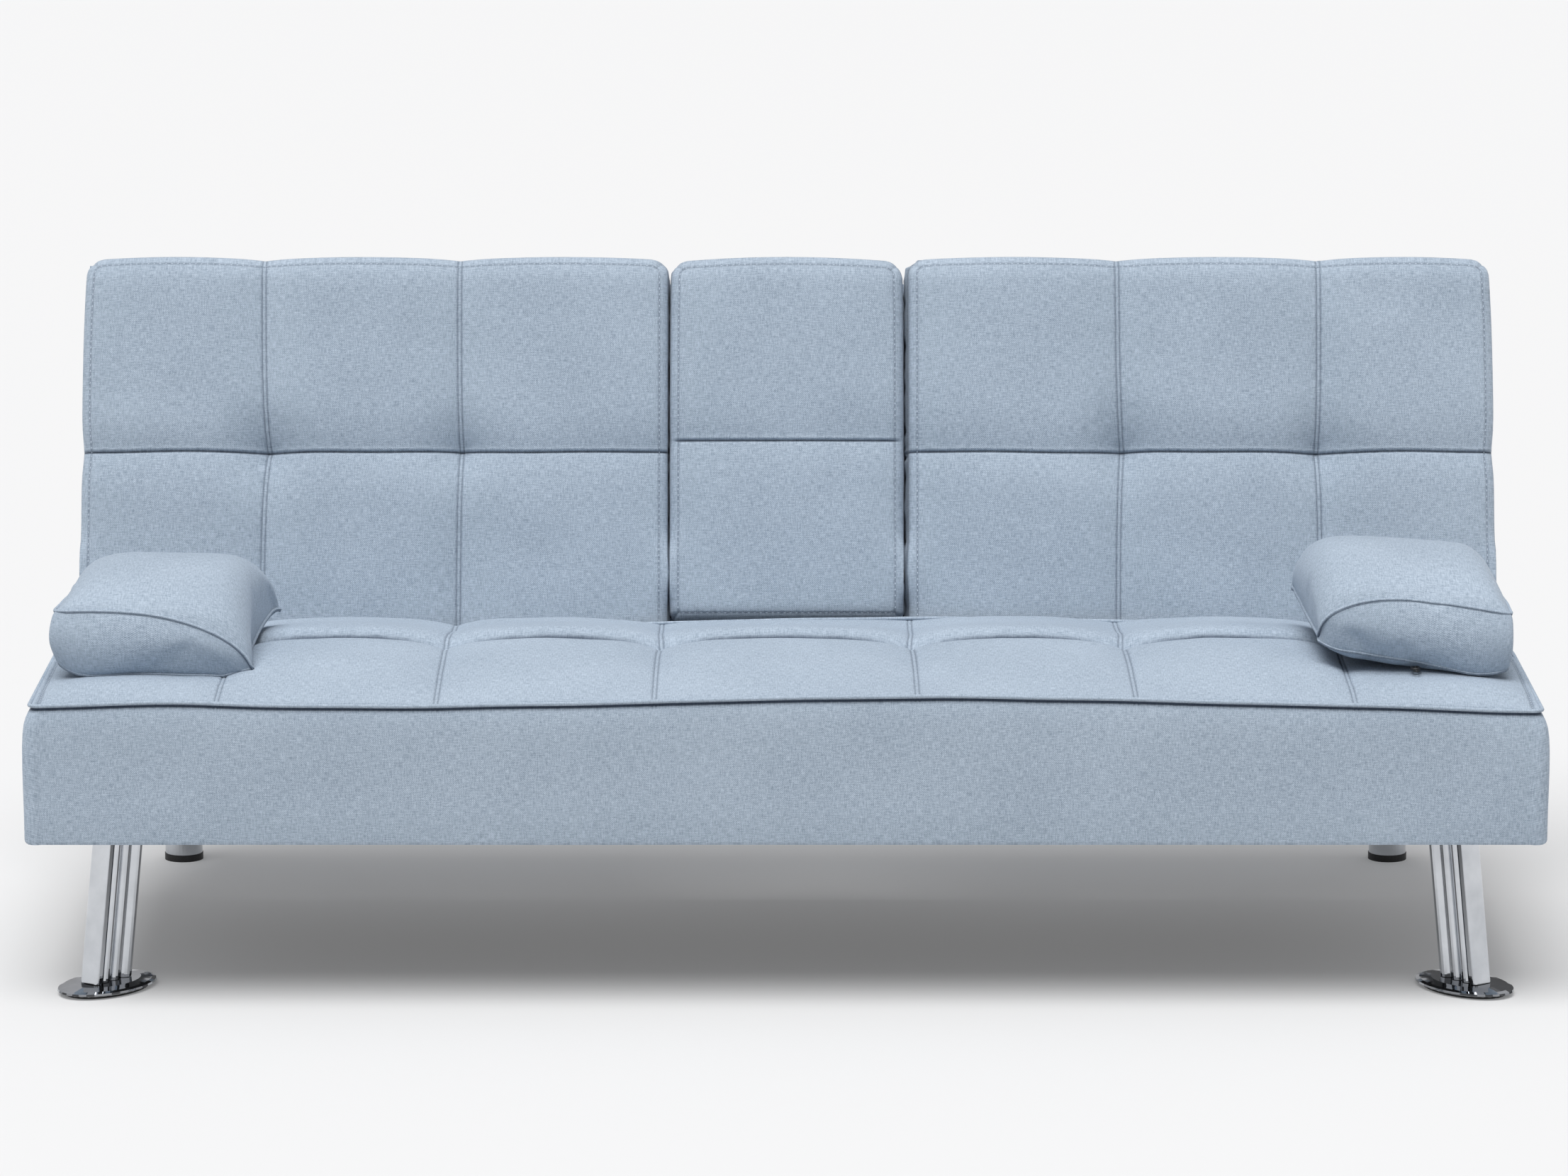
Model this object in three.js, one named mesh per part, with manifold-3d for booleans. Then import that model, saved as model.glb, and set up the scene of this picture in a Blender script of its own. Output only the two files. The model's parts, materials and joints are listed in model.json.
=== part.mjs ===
// Click-clack futon sofa bed: a sprung timber seat on two splayed chrome legs in front and a steel
// bar with two chrome posts behind, a backrest that reclines flat about two end hinges, and a
// middle console that folds forward out of the backrest and shows two cup wells.
//
// Millimetres, +Z up, +X to the sitter's left. The front faces -Y, and the origin is on the floor
// under the middle of the sofa. Seat pieces are placed by `s`, the distance behind the seat's front
// face. Backrest pieces are drawn upright about the hinge axis, then the group leans back.

import * as THREE from "three";
import { mergeVertices } from "three/addons/utils/BufferGeometryUtils.js";
import Module from "manifold-3d";

const wasm = await Module();
wasm.setup();

// ---- driving dimensions -------------------------------------------------------------------

const SEAT_WIDTH = 1680;
const SEAT_DEPTH = 520;
const SEAT_BOTTOM = 184; // underside of the upholstered box, so the free height under the sofa
const SEAT_TOP = 360;
const SEAT_EDGE_RADIUS = 20;

const BACK_WIDTH = 1666;
const BACK_THICKNESS = 120;
const BACK_REACH = 453; // hinge axis to the top of the backrest
const BACK_LEAN = THREE.MathUtils.degToRad(16);
const BED_LEVEL = 364; // height of the backrest's face once it lies flat

const CONSOLE_WIDTH = 273;
const CONSOLE_GAP = 4.5; // each side, between the console and the back pads
const CONSOLE_AXIS_FORWARD = 45; // console pivot, in front of the backrest's middle plane
const CONSOLE_AXIS_UP = 67; // console pivot, above the backrest's hinge axis

const COVER = 4; // fabric with its bonded wadding
const FIT = 0.5; // gap between large pieces that touch
const GAP = 0.3; // gap between small ones
const SOFA_DEPTH = 760.6; // seat front to the backrest's rearmost edge, which centres the origin

// ---- sizes worked out from them -----------------------------------------------------------

const HALF_SEAT = SEAT_WIDTH / 2;
const HALF_BACK = BACK_WIDTH / 2;
const HALF_THICK = BACK_THICKNESS / 2;
const HALF_CONSOLE = CONSOLE_WIDTH / 2;
const HINGE_CLEARANCE = 4;
const HINGE_S = SEAT_DEPTH + HINGE_CLEARANCE + HALF_THICK;
const HINGE_Z = BED_LEVEL - HALF_THICK;
const FRONT_Y = -SOFA_DEPTH / 2;

const RAIL = 25; // timber thickness
const SIDE_RAIL = 50;
const RAIL_TOP = 274.5;
const RAIL_BOTTOM = SEAT_BOTTOM + 3;
const CAVITY_X = HALF_SEAT - COVER - FIT;
const CAVITY_FRONT = COVER + FIT;
const CAVITY_BACK = SEAT_DEPTH - COVER - FIT;

// ---- materials ------------------------------------------------------------------------------

const paint = (color, roughness, metalness = 0) =>
  new THREE.MeshStandardMaterial({ color, roughness, metalness });

const fabric = paint(0xa6b6c9, 0.95);
const foam = paint(0xe9e2c8, 0.95);
const pine = paint(0xc9a26b, 0.7);
const plywood = paint(0xb58d58, 0.7);
const lining = paint(0x1c1c1e, 0.95);
const chrome = paint(0xd9dde0, 0.08, 1);
const blackSteel = paint(0x202225, 0.45, 0.6);
const springSteel = paint(0x6c7075, 0.35, 0.9);
const blackPlastic = paint(0x151516, 0.5);

// ---- making and joining shapes ----------------------------------------------------------------

// A closed three.js geometry as a manifold solid.
function solid(geometry) {
  const bare = geometry.index ? geometry.toNonIndexed() : geometry.clone();
  bare.deleteAttribute("normal");
  bare.deleteAttribute("uv");
  const merged = mergeVertices(bare, 1e-4);
  return new wasm.Manifold(
    new wasm.Mesh({
      numProp: 3,
      vertProperties: merged.attributes.position.array,
      triVerts: new Uint32Array(merged.index.array),
    }),
  );
}

// A manifold solid as a geometry with flat-shaded faces.
function geometryOf(body) {
  const { vertProperties, triVerts, numProp } = body.getMesh();
  const corners = new Float32Array(triVerts.length * 3);
  triVerts.forEach((vertex, i) =>
    corners.set(vertProperties.subarray(vertex * numProp, vertex * numProp + 3), i * 3),
  );
  const geometry = new THREE.BufferGeometry();
  geometry.setAttribute("position", new THREE.BufferAttribute(corners, 3));
  geometry.computeVertexNormals();
  return geometry;
}

function block(x0, x1, y0, y1, z0, z1) {
  const geometry = new THREE.BoxGeometry(x1 - x0, y1 - y0, z1 - z0);
  return geometry.translate((x0 + x1) / 2, (y0 + y1) / 2, (z0 + z1) / 2);
}

const blockSolid = (...sides) => solid(block(...sides));

// An outline of sides a0..a1 by b0..b1 whose four corner radii run from the a0, b0 corner round
// through a1, b0 and a1, b1 to a0, b1.
function roundedOutline(a0, a1, b0, b1, [r00, r10, r11, r01]) {
  const shape = new THREE.Shape();
  const quarter = Math.PI / 2;
  const corner = (a, b, r, start) => {
    if (r > 0) shape.absarc(a, b, r, start, start + quarter);
    else shape.lineTo(a, b);
  };
  shape.moveTo(a0 + r00, b0);
  corner(a1 - r10, b0 + r10, r10, -quarter);
  corner(a1 - r11, b1 - r11, r11, 0);
  corner(a0 + r01, b1 - r01, r01, quarter);
  corner(a0 + r00, b0 + r00, r00, 2 * quarter);
  return shape;
}

const circle = (a, b, radius) => new THREE.Path().absarc(a, b, radius, 0, 2 * Math.PI, true);

const EXTRUDE_ALONG = {
  x: new THREE.Matrix4().set(0, 0, 1, 0, 1, 0, 0, 0, 0, 1, 0, 0, 0, 0, 0, 1),
  y: new THREE.Matrix4().set(1, 0, 0, 0, 0, 0, -1, 0, 0, 1, 0, 0, 0, 0, 0, 1),
  z: new THREE.Matrix4(),
};

// An outline in (y, z), (x, z) or (x, y), run along x, y or z from `start` to `end`.
function prism(outline, along, start, end, curveSegments = 5) {
  const depth = end - start;
  const geometry = new THREE.ExtrudeGeometry(outline, { depth, bevelEnabled: false, curveSegments });
  geometry.translate(0, 0, along === "y" ? -end : start);
  return geometry.applyMatrix4(EXTRUDE_ALONG[along]);
}

const prismSolid = (...args) => solid(prism(...args));

// A cylinder along x.
function rod(x0, x1, y, z, radius, sides = 20) {
  const geometry = new THREE.CylinderGeometry(radius, radius, x1 - x0, sides);
  return solid(geometry.rotateZ(Math.PI / 2).translate((x0 + x1) / 2, y, z));
}

// A cylinder standing on z0.
function post(x, y, z0, z1, radius, sides = 32) {
  const geometry = new THREE.CylinderGeometry(radius, radius, z1 - z0, sides);
  return geometry.rotateX(Math.PI / 2).translate(x, y, (z0 + z1) / 2);
}

function piece(group, name, shape, material) {
  const geometry = shape.isBufferGeometry ? shape : geometryOf(shape);
  const mesh = new THREE.Mesh(geometry, material);
  mesh.name = name;
  group.add(mesh);
  return mesh;
}

// Calls `make` for each end of the sofa. `side` is the sign of x, and `span` puts two distances
// from the middle in order as x0, x1.
function bothEnds(make) {
  for (const [end, side] of [
    ["left", -1],
    ["right", 1],
  ])
    make(end, side, (inner, outer) => (side < 0 ? [-outer, -inner] : [inner, outer]));
}

const sofa = new THREE.Group();
const seat = new THREE.Group();
seat.position.y = FRONT_Y;
const backrest = new THREE.Group();
backrest.position.set(0, FRONT_Y + HINGE_S, HINGE_Z);
backrest.rotation.x = -BACK_LEAN;
sofa.add(seat, backrest);

// ---- hinge hardware places, measured from the middle of the sofa --------------------------------

const BACK_ARM = [791, 796];
const CAM = [785.5, 790.5];
const SEAT_ARM = [780, 785];
const HINGE_SLOT = [770, 806];
const EYE_RADIUS = 16;
const BOLT_RADIUS = 6;
const RUNNING_GAP = 0.3;

// ---- seat -----------------------------------------------------------------------------------------

// A block with rounded top edges and slightly eased lower ones.
function cushionBlock(halfX, s0, s1, z0, z1, radius, lower) {
  const radii = [lower, lower, radius, radius];
  const section = prismSolid(roundedOutline(s0, s1, z0, z1, radii), "x", -halfX, halfX);
  return section.intersect(
    prismSolid(roundedOutline(-halfX, halfX, z0, z1, radii), "y", s0 - 1, s1 + 1),
  );
}

function seatUpholstery() {
  const inner = SEAT_EDGE_RADIUS - COVER;
  const outside = cushionBlock(HALF_SEAT, 0, SEAT_DEPTH, SEAT_BOTTOM, SEAT_TOP, SEAT_EDGE_RADIUS, 6);
  const inside = cushionBlock(
    HALF_SEAT - COVER,
    COVER,
    SEAT_DEPTH - COVER,
    SEAT_BOTTOM - 10,
    SEAT_TOP - COVER,
    inner,
    0,
  );
  let cover = outside.subtract(inside);
  bothEnds((end, side, span) => {
    const [x0, x1] = span(SEAT_ARM[0] - 6, SEAT_ARM[1] + 5);
    cover = cover.subtract(blockSolid(x0, x1, SEAT_DEPTH - 30, SEAT_DEPTH + 5, 215, 275));
  });
  piece(seat, "seat_cover", cover, fabric);
  const top = SEAT_TOP - COVER - FIT;
  const slab = cushionBlock(CAVITY_X, CAVITY_FRONT, CAVITY_BACK, RAIL_TOP + FIT, top, inner, 0);
  piece(seat, "seat_foam", slab, foam);
  const low = SEAT_BOTTOM + GAP;
  const cloth = block(-CAVITY_X, CAVITY_X, CAVITY_FRONT, CAVITY_BACK, low, low + 2);
  piece(seat, "seat_dust_cover", cloth, lining);
}

function seatFrame() {
  const rail = (name, x0, x1, s0, s1, top = RAIL_TOP) =>
    piece(seat, name, block(x0, x1, s0, s1, RAIL_BOTTOM, top), pine);
  const innerFront = CAVITY_FRONT + RAIL + FIT;
  const innerBack = CAVITY_BACK - RAIL - FIT;
  const rearEnd = SEAT_ARM[0] - 8; // leaves a window for each hinge arm
  const crossRailX = 280;
  rail("seat_front_rail", -CAVITY_X, CAVITY_X, CAVITY_FRONT, innerFront - FIT);
  rail("seat_rear_rail", -rearEnd, rearEnd, innerBack + FIT, CAVITY_BACK);
  bothEnds((end, side, span) => {
    const [x0, x1] = span(SEAT_ARM[1] + FIT, CAVITY_X);
    rail(`seat_side_rail_${end}`, x0, x1, innerFront, CAVITY_BACK);
    const middle = side * crossRailX;
    rail(`seat_cross_rail_${end}`, middle - RAIL / 2, middle + RAIL / 2, innerFront, innerBack, 262);
  });
  seatSprings(innerFront, innerBack);
}

// Sinuous springs run front to back, level with the top of the rails and under the foam.
function seatSprings(s0, s1) {
  const wire = 4;
  const swing = 24;
  const waves = 6;
  const stepsPerWave = 10;
  const endGap = 1.5;
  const z = RAIL_TOP - wire / 2;
  const section = new THREE.Shape();
  section.absarc(0, 0, wire / 2, 0, 2 * Math.PI);
  [-600, -200, 200, 600].forEach((x, i) => {
    const points = [];
    for (let step = 0; step <= waves * stepsPerWave; step++) {
      const share = step / (waves * stepsPerWave);
      const reach = swing * Math.cos(share * waves * 2 * Math.PI);
      points.push(new THREE.Vector3(x + reach, s0 + endGap + share * (s1 - s0 - 2 * endGap), z));
    }
    const spring = new THREE.ExtrudeGeometry(section, {
      steps: waves * stepsPerWave,
      curveSegments: 3,
      extrudePath: new THREE.CatmullRomCurve3(points),
    });
    piece(seat, `seat_spring_${i + 1}`, spring, springSteel);
  });
}

// ---- legs -------------------------------------------------------------------------------------------

const LEG_SPLAY = Math.tan(THREE.MathUtils.degToRad(5.5)); // outwards
const LEG_RAKE = Math.tan(THREE.MathUtils.degToRad(3)); // forwards
const LEG_TURN = THREE.MathUtils.degToRad(52); // the long axis points forwards and outwards
const FOOT_X = 760;
const FOOT_S = 88;
const FOOT_RADII = [66, 44];
const LEG_LENGTH = 62;
const LEG_WIDTH = 26;
const LEG_WALL = 2.5;
const LEG_RIBS = [
  [-22, 9],
  [-3, 7],
  [13, 5.5],
]; // each rib's place along the section, and its radius
const GLIDE_THICK = 2.5;
const FOOT_TOP = 11;
const PLATE_THICK = 7;
const PLATE_BOTTOM = SEAT_BOTTOM - GAP - PLATE_THICK;

// The chrome tube's section for the right leg, long along x: a flat outer end at +x, a plain back,
// and a front whose three round ribs stand between grooves.
function legSection() {
  const end = LEG_LENGTH / 2;
  const half = LEG_WIDTH / 2;
  const quarter = Math.PI / 2;
  const flute = 5;
  const land = 9;
  const round = 4;
  const shape = new THREE.Shape();
  shape.absarc(end - round, half - round, round, 0, quarter);
  shape.absarc(land - end, half - land, land, quarter, 2 * quarter);
  for (const [middle, radius] of LEG_RIBS) {
    const dip = Math.asin((radius - flute) / radius);
    shape.absarc(middle, radius - half, radius, Math.PI + dip, 2 * Math.PI - dip);
  }
  shape.lineTo(end - land, flute - half);
  shape.lineTo(end - land, -half);
  shape.absarc(end - round, round - half, round, 3 * quarter, 4 * quarter);
  const bore = [LEG_WALL - end, end - LEG_WALL, LEG_WALL + flute - half, half - LEG_WALL];
  shape.holes.push(roundedOutline(...bore, [6, 2, 2, 6]));
  return shape;
}

// One leg on each side. Its foot is an oval dish, longest along the leg's own long axis.
function frontLegs() {
  const [long, short] = FOOT_RADII;
  const turn = new THREE.Matrix4().makeRotationZ(-LEG_TURN);
  const oval = turn.clone().scale(new THREE.Vector3(long / short, 1, 1));
  const base = GLIDE_THICK + GAP;
  const profile = [
    [0, base],
    [short - 4, base],
    [short, 5],
    [short - 0.5, 7],
    [short - 4, 8.6],
    [short - 14, FOOT_TOP - 0.4],
    [0, FOOT_TOP],
  ].map(([r, z]) => new THREE.Vector2(r, z));
  const foot = new THREE.LatheGeometry(profile, 36).rotateX(Math.PI / 2).applyMatrix4(oval);
  const glide = post(0, 0, 0, GLIDE_THICK, short - 7).applyMatrix4(oval);
  const height = PLATE_BOTTOM - FOOT_TOP - 2 * GAP;
  const lean = new THREE.Matrix4().makeShear(0, 0, 0, 0, -LEG_SPLAY, LEG_RAKE);
  const stem = prism(legSection(), "z", 0, height, 3).applyMatrix4(turn).applyMatrix4(lean);
  stem.translate(0, 0, FOOT_TOP + GAP);
  bothEnds((end, side) => {
    const stand = (name, shape, material) => {
      const handed = side < 0 ? solid(shape).mirror([1, 0, 0]) : shape;
      piece(seat, `${name}_${end}`, handed, material).position.set(side * FOOT_X, FOOT_S, 0);
    };
    stand("front_leg", stem, chrome);
    stand("front_leg_foot", foot, chrome);
    stand("front_leg_glide", glide, blackPlastic);
    const x = side * (FOOT_X - LEG_SPLAY * height);
    piece(seat, `front_leg_plate_${end}`, legPlate(x, FOOT_S + LEG_RAKE * height), chrome);
  });
}

// A square plate under the seat with its four screw heads.
function legPlate(x, s) {
  const half = 48;
  const screwAt = 38;
  const outline = roundedOutline(x - half, x + half, s - half, s + half, [10, 10, 10, 10]);
  let plate = prismSolid(outline, "z", PLATE_BOTTOM, PLATE_BOTTOM + PLATE_THICK, 3);
  for (const dx of [-screwAt, screwAt])
    for (const ds of [-screwAt, screwAt])
      plate = plate.add(solid(post(x + dx, s + ds, PLATE_BOTTOM - 2.5, PLATE_BOTTOM + 1, 5.5, 10)));
  return plate;
}

const REAR_LEG_X = 729;
const REAR_LEG_S = 729;
const REAR_LEG_RADIUS = 22.5;
const TUBE = 30;
const TUBE_WALL = 2;
const TUBE_TOP = SEAT_BOTTOM - 0.5;

// The outline of a square tube about a point of its middle line.
function squareTube(a, b) {
  const half = TUBE / 2;
  const bore = half - TUBE_WALL;
  const outline = roundedOutline(a - half, a + half, b - half, b + half, [4, 4, 4, 4]);
  outline.holes.push(roundedOutline(a - bore, a + bore, b - bore, b + bore, [2, 2, 2, 2]));
  return outline;
}

// Two square tubes run back under the seat to a cross bar, which stands on two round posts.
function rearSupport() {
  const middle = TUBE_TOP - TUBE / 2;
  const capHeight = 8;
  const barEnd = 775;
  const bar = prism(squareTube(REAR_LEG_S, middle), "x", -barEnd, barEnd, 2);
  piece(seat, "rear_bar", bar, blackSteel);
  const ring = new THREE.Shape().absarc(0, 0, REAR_LEG_RADIUS, 0, 2 * Math.PI);
  ring.holes.push(circle(0, 0, REAR_LEG_RADIUS - TUBE_WALL));
  bothEnds((end, side) => {
    const x = side * REAR_LEG_X;
    const arm = prism(squareTube(x, middle), "y", 300, REAR_LEG_S - TUBE / 2 - FIT, 2);
    piece(seat, `rear_arm_${end}`, arm, blackSteel);
    const leg = prism(ring, "z", capHeight + GAP, TUBE_TOP - TUBE - FIT, 16);
    piece(seat, `rear_leg_${end}`, leg, chrome).position.set(x, REAR_LEG_S, 0);
    const cap = post(0, 0, 0, capHeight, REAR_LEG_RADIUS + 0.7);
    piece(seat, `rear_leg_cap_${end}`, cap, blackPlastic).position.set(x, REAR_LEG_S, 0);
  });
}

// ---- click-clack hinges ---------------------------------------------------------------------------------

const PAWL_PIVOT_REACH = 44; // from the hinge axis, along the seat arm
const PAWL_NOSE_REACH = 26;
const PAWL_NOSE_RADIUS = 3;
const PAWL_HOLE = 3 + RUNNING_GAP;
const ARM_ROOT = { s: 500, z: 228 };
const ARM_ANGLE = Math.atan2(HINGE_Z - ARM_ROOT.z, HINGE_S - ARM_ROOT.s);
const PAWL_PIVOT = {
  s: HINGE_S - PAWL_PIVOT_REACH * Math.cos(ARM_ANGLE),
  z: HINGE_Z - PAWL_PIVOT_REACH * Math.sin(ARM_ANGLE),
};

// The steel arm screwed inside the seat's side rail, with its eye on the hinge axis and the stud
// that carries the pawl.
function seatArm(span) {
  const quarter = Math.PI / 2;
  const shape = new THREE.Shape();
  shape.moveTo(390, 205);
  shape.lineTo(505, 205);
  shape.absarc(HINGE_S, HINGE_Z, EYE_RADIUS, ARM_ANGLE - quarter, ARM_ANGLE + quarter);
  shape.lineTo(502, 252);
  shape.lineTo(390, 252);
  shape.holes.push(circle(HINGE_S, HINGE_Z, BOLT_RADIUS + RUNNING_GAP));
  for (const s of [405, 435, 465]) shape.holes.push(circle(s, 228, 3));
  const plate = prismSolid(shape, "x", ...span(...SEAT_ARM), 6);
  return plate.add(rod(...span(SEAT_ARM[0] + 1, CAM[1] - 0.3), PAWL_PIVOT.s, PAWL_PIVOT.z, 3, 12));
}

// The spring-loaded follower whose nose rides on the cam's edge.
function pawl(span) {
  const nose = { s: HINGE_S - PAWL_NOSE_REACH, z: HINGE_Z };
  const lean = Math.atan2(nose.z - PAWL_PIVOT.z, nose.s - PAWL_PIVOT.s);
  const quarter = Math.PI / 2;
  const shape = new THREE.Shape();
  shape.absarc(PAWL_PIVOT.s, PAWL_PIVOT.z, 7, lean + quarter, lean - quarter);
  shape.absarc(nose.s, nose.z, PAWL_NOSE_RADIUS, lean - quarter, lean + quarter);
  shape.holes.push(circle(PAWL_PIVOT.s, PAWL_PIVOT.z, PAWL_HOLE));
  return prism(shape, "x", ...span(CAM[0], CAM[1] - FIT), 6);
}

// The snail cam fixed to the backrest. Its edge rises steadily under the pawl as the backrest
// reclines, with a notch for each of the upright, lounging and flat positions.
function camPlate(span) {
  const low = PAWL_NOSE_REACH - PAWL_NOSE_RADIUS - 1;
  const rise = 2.6;
  const travel = Math.PI / 2 - BACK_LEAN;
  const first = Math.PI + BACK_LEAN;
  const steps = 60;
  const shape = new THREE.Shape();
  for (let step = 0; step < steps; step++) {
    const angle = (step / steps) * 2 * Math.PI;
    const share = (angle - first) / travel;
    const notched = [0, 0.5, 1].some((at) => Math.abs(share - at) < 0.055);
    const rising = low + rise * Math.min(Math.max(share, 0), 1);
    const edge = share > 1.3 ? low : rising;
    const reach = notched ? edge - 2.5 : edge;
    shape[step ? "lineTo" : "moveTo"](reach * Math.cos(angle), reach * Math.sin(angle));
  }
  shape.holes.push(circle(0, 0, BOLT_RADIUS + RUNNING_GAP));
  return prism(shape, "x", ...span(...CAM), 6);
}

function backArm(span) {
  const shape = new THREE.Shape();
  shape.moveTo(EYE_RADIUS, 0);
  shape.lineTo(EYE_RADIUS, 165);
  shape.lineTo(-EYE_RADIUS + 14, 165);
  shape.lineTo(-EYE_RADIUS + 14, 22);
  shape.lineTo(-EYE_RADIUS, 4);
  shape.absarc(0, 0, EYE_RADIUS, Math.PI, 2 * Math.PI);
  shape.holes.push(circle(0, 0, BOLT_RADIUS + RUNNING_GAP));
  for (const z of [80, 115, 150]) shape.holes.push(circle(7, z, 3));
  return prism(shape, "x", ...span(...BACK_ARM), 6);
}

function hinges(pawls) {
  bothEnds((end, side, span) => {
    piece(seat, `hinge_seat_arm_${end}`, seatArm(span), blackSteel);
    const shank = rod(...span(SEAT_ARM[0] - 1, BACK_ARM[1] + 1), HINGE_S, HINGE_Z, BOLT_RADIUS);
    const head = rod(...span(SEAT_ARM[0] - 6.5, SEAT_ARM[0] - 0.5), HINGE_S, HINGE_Z, 10, 6);
    const nut = rod(...span(BACK_ARM[1] + 0.5, BACK_ARM[1] + 7), HINGE_S, HINGE_Z, 10, 6);
    piece(seat, `hinge_bolt_${end}`, shank.add(head).add(nut), springSteel);
    piece(pawls, `hinge_pawl_${end}`, pawl(span), springSteel);
    piece(backrest, `hinge_back_arm_${end}`, backArm(span), blackSteel);
    piece(backrest, `hinge_cam_${end}`, camPlate(span), springSteel);
  });
}

// ---- backrest ---------------------------------------------------------------------------------------------

const BACK_TOP_RADIUS = 25;
const PAD_INNER = HALF_CONSOLE + CONSOLE_GAP;
const PANEL_THICK = 3.7;
const FOAM_REAR = -6; // the foam slab lies in front of this plane, the timber behind it
const TIMBER_FRONT = -5;
const TIMBER_REAR = 50;
const STILE_TOP = 440;
const LOWER_RAIL = [25, 60]; // above the hinge axis
const LOWER_RAIL_Y = [17, 50];
const BRACKET = [HALF_CONSOLE + 9, HALF_CONSOLE + 12];
const STILE_INNER = BRACKET[1] + FIT;

// The backrest's side outline, drawn in from the outside by `inset`: a half round about the hinge
// axis below, two rounded corners above.
function backOutline(inset) {
  const half = HALF_THICK - inset;
  const top = BACK_REACH - inset;
  const radius = BACK_TOP_RADIUS - inset;
  return roundedOutline(-half, half, -half, top, [half, half, radius, radius]);
}

// One back pad's body between two distances from the middle, with its front view's rounded top.
function padBody(span, inner, outer, inset) {
  const [x0, x1] = span(inner, outer);
  const top = BACK_REACH - inset;
  const radius = 22 - inset;
  const section = prismSolid(backOutline(inset), "x", x0, x1, 8);
  const face = roundedOutline(x0, x1, -HALF_THICK, top, [0, 0, radius, radius]);
  return section.intersect(prismSolid(face, "y", -HALF_THICK - 1, HALF_THICK + 1));
}

function backPads() {
  const reach = HALF_THICK + 1;
  bothEnds((end, side, span) => {
    const slot = blockSolid(...span(...HINGE_SLOT), -reach, reach, -reach, LOWER_RAIL[0] - 3);
    const open = blockSolid(...span(0, HALF_BACK + 1), HALF_THICK - COVER - 0.1, reach, 1, BACK_REACH - 26);
    const studHole = rod(
      ...span(PAD_INNER - 2, PAD_INNER + COVER + 2),
      -CONSOLE_AXIS_FORWARD,
      CONSOLE_AXIS_UP,
      6,
      14,
    );
    const railWindow = blockSolid(
      ...span(PAD_INNER - 2, PAD_INNER + COVER + 2),
      LOWER_RAIL_Y[0] - 2,
      LOWER_RAIL_Y[1] + 2,
      LOWER_RAIL[0] - 2,
      LOWER_RAIL[1] + 2,
    );
    const cover = padBody(span, PAD_INNER, HALF_BACK, 0)
      .subtract(padBody(span, PAD_INNER + COVER, HALF_BACK - COVER, COVER))
      .subtract(open)
      .subtract(slot)
      .subtract(railWindow)
      .subtract(studHole);
    piece(backrest, `back_cover_${end}`, cover, fabric);
    const behindFoam = blockSolid(...span(0, HALF_BACK), FOAM_REAR, reach, LOWER_RAIL[0] - 3, BACK_REACH);
    const filling = padBody(span, STILE_INNER + FIT, HALF_BACK - COVER - FIT, COVER + FIT);
    piece(backrest, `back_foam_${end}`, filling.subtract(behindFoam).subtract(slot), foam);
  });
}

function backFrame() {
  const timber = (name, x0, x1, y0, y1, z0, z1) =>
    piece(backrest, name, block(x0, x1, y0, y1, z0, z1), pine);
  const railEnd = BACK_ARM[1];
  const stile = 30;
  const outerStile = [BACK_ARM[1] + FIT, BACK_ARM[1] + FIT + stile];
  const innerStile = [STILE_INNER, STILE_INNER + stile];
  const rearGap = HALF_THICK - COVER;
  timber("back_lower_rail", -BACK_ARM[0] + FIT, BACK_ARM[0] - FIT, ...LOWER_RAIL_Y, ...LOWER_RAIL);
  bothEnds((end, side, span) => {
    const up = LOWER_RAIL[1] + FIT;
    timber(`back_outer_stile_${end}`, ...span(...outerStile), TIMBER_FRONT, TIMBER_REAR, LOWER_RAIL[0], STILE_TOP);
    timber(`back_inner_stile_${end}`, ...span(...innerStile), TIMBER_FRONT, TIMBER_REAR, up, STILE_TOP);
    const across = span(innerStile[1] + FIT, railEnd);
    timber(`back_top_rail_${end}`, ...across, TIMBER_FRONT, TIMBER_REAR, STILE_TOP - 35, STILE_TOP);
    piece(backrest, `console_bracket_${end}`, consoleBracket(span), blackSteel);
  });
  const panelTop = BACK_REACH - 26.5;
  const edge = HALF_BACK - 0.5;
  const panel = block(-edge, edge, rearGap + 0.3, rearGap + PANEL_THICK, 1.5, panelTop);
  piece(backrest, "back_rear_panel", panel, fabric);
}

// A plate on the inner stile that reaches forward inside the pad, with the stud the console turns on.
function consoleBracket(span) {
  const outline = roundedOutline(-HALF_THICK + COVER + 1, 38, 61, 86, [6, 4, 4, 8]);
  const plate = prismSolid(outline, "x", ...span(...BRACKET), 3);
  const stud = [HALF_CONSOLE + 0.8, BRACKET[1] - 0.5];
  return plate.add(rod(...span(...stud), -CONSOLE_AXIS_FORWARD, CONSOLE_AXIS_UP, 4, 16));
}

// ---- fold-down console ---------------------------------------------------------------------------------------

const CONSOLE_BOTTOM = 18;
const CONSOLE_TOP = 444;
const CUSHION_REAR = -12;
const BOARD = [CUSHION_REAR + FIT, CUSHION_REAR + FIT + 11];
const BOARD_Z = [74, 434];
const BOARD_CORNER = 26; // at the top, inside the cushion's rounded corners
const TRAY = [BOARD[1] + FIT, 44];
const TRAY_WALL = 3;
const TRAY_Z = [66, 434];
const CUP_Z = [180, 300];
const CUP_RADIUS = 38;
const CUP_DEPTH = 40;

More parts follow.
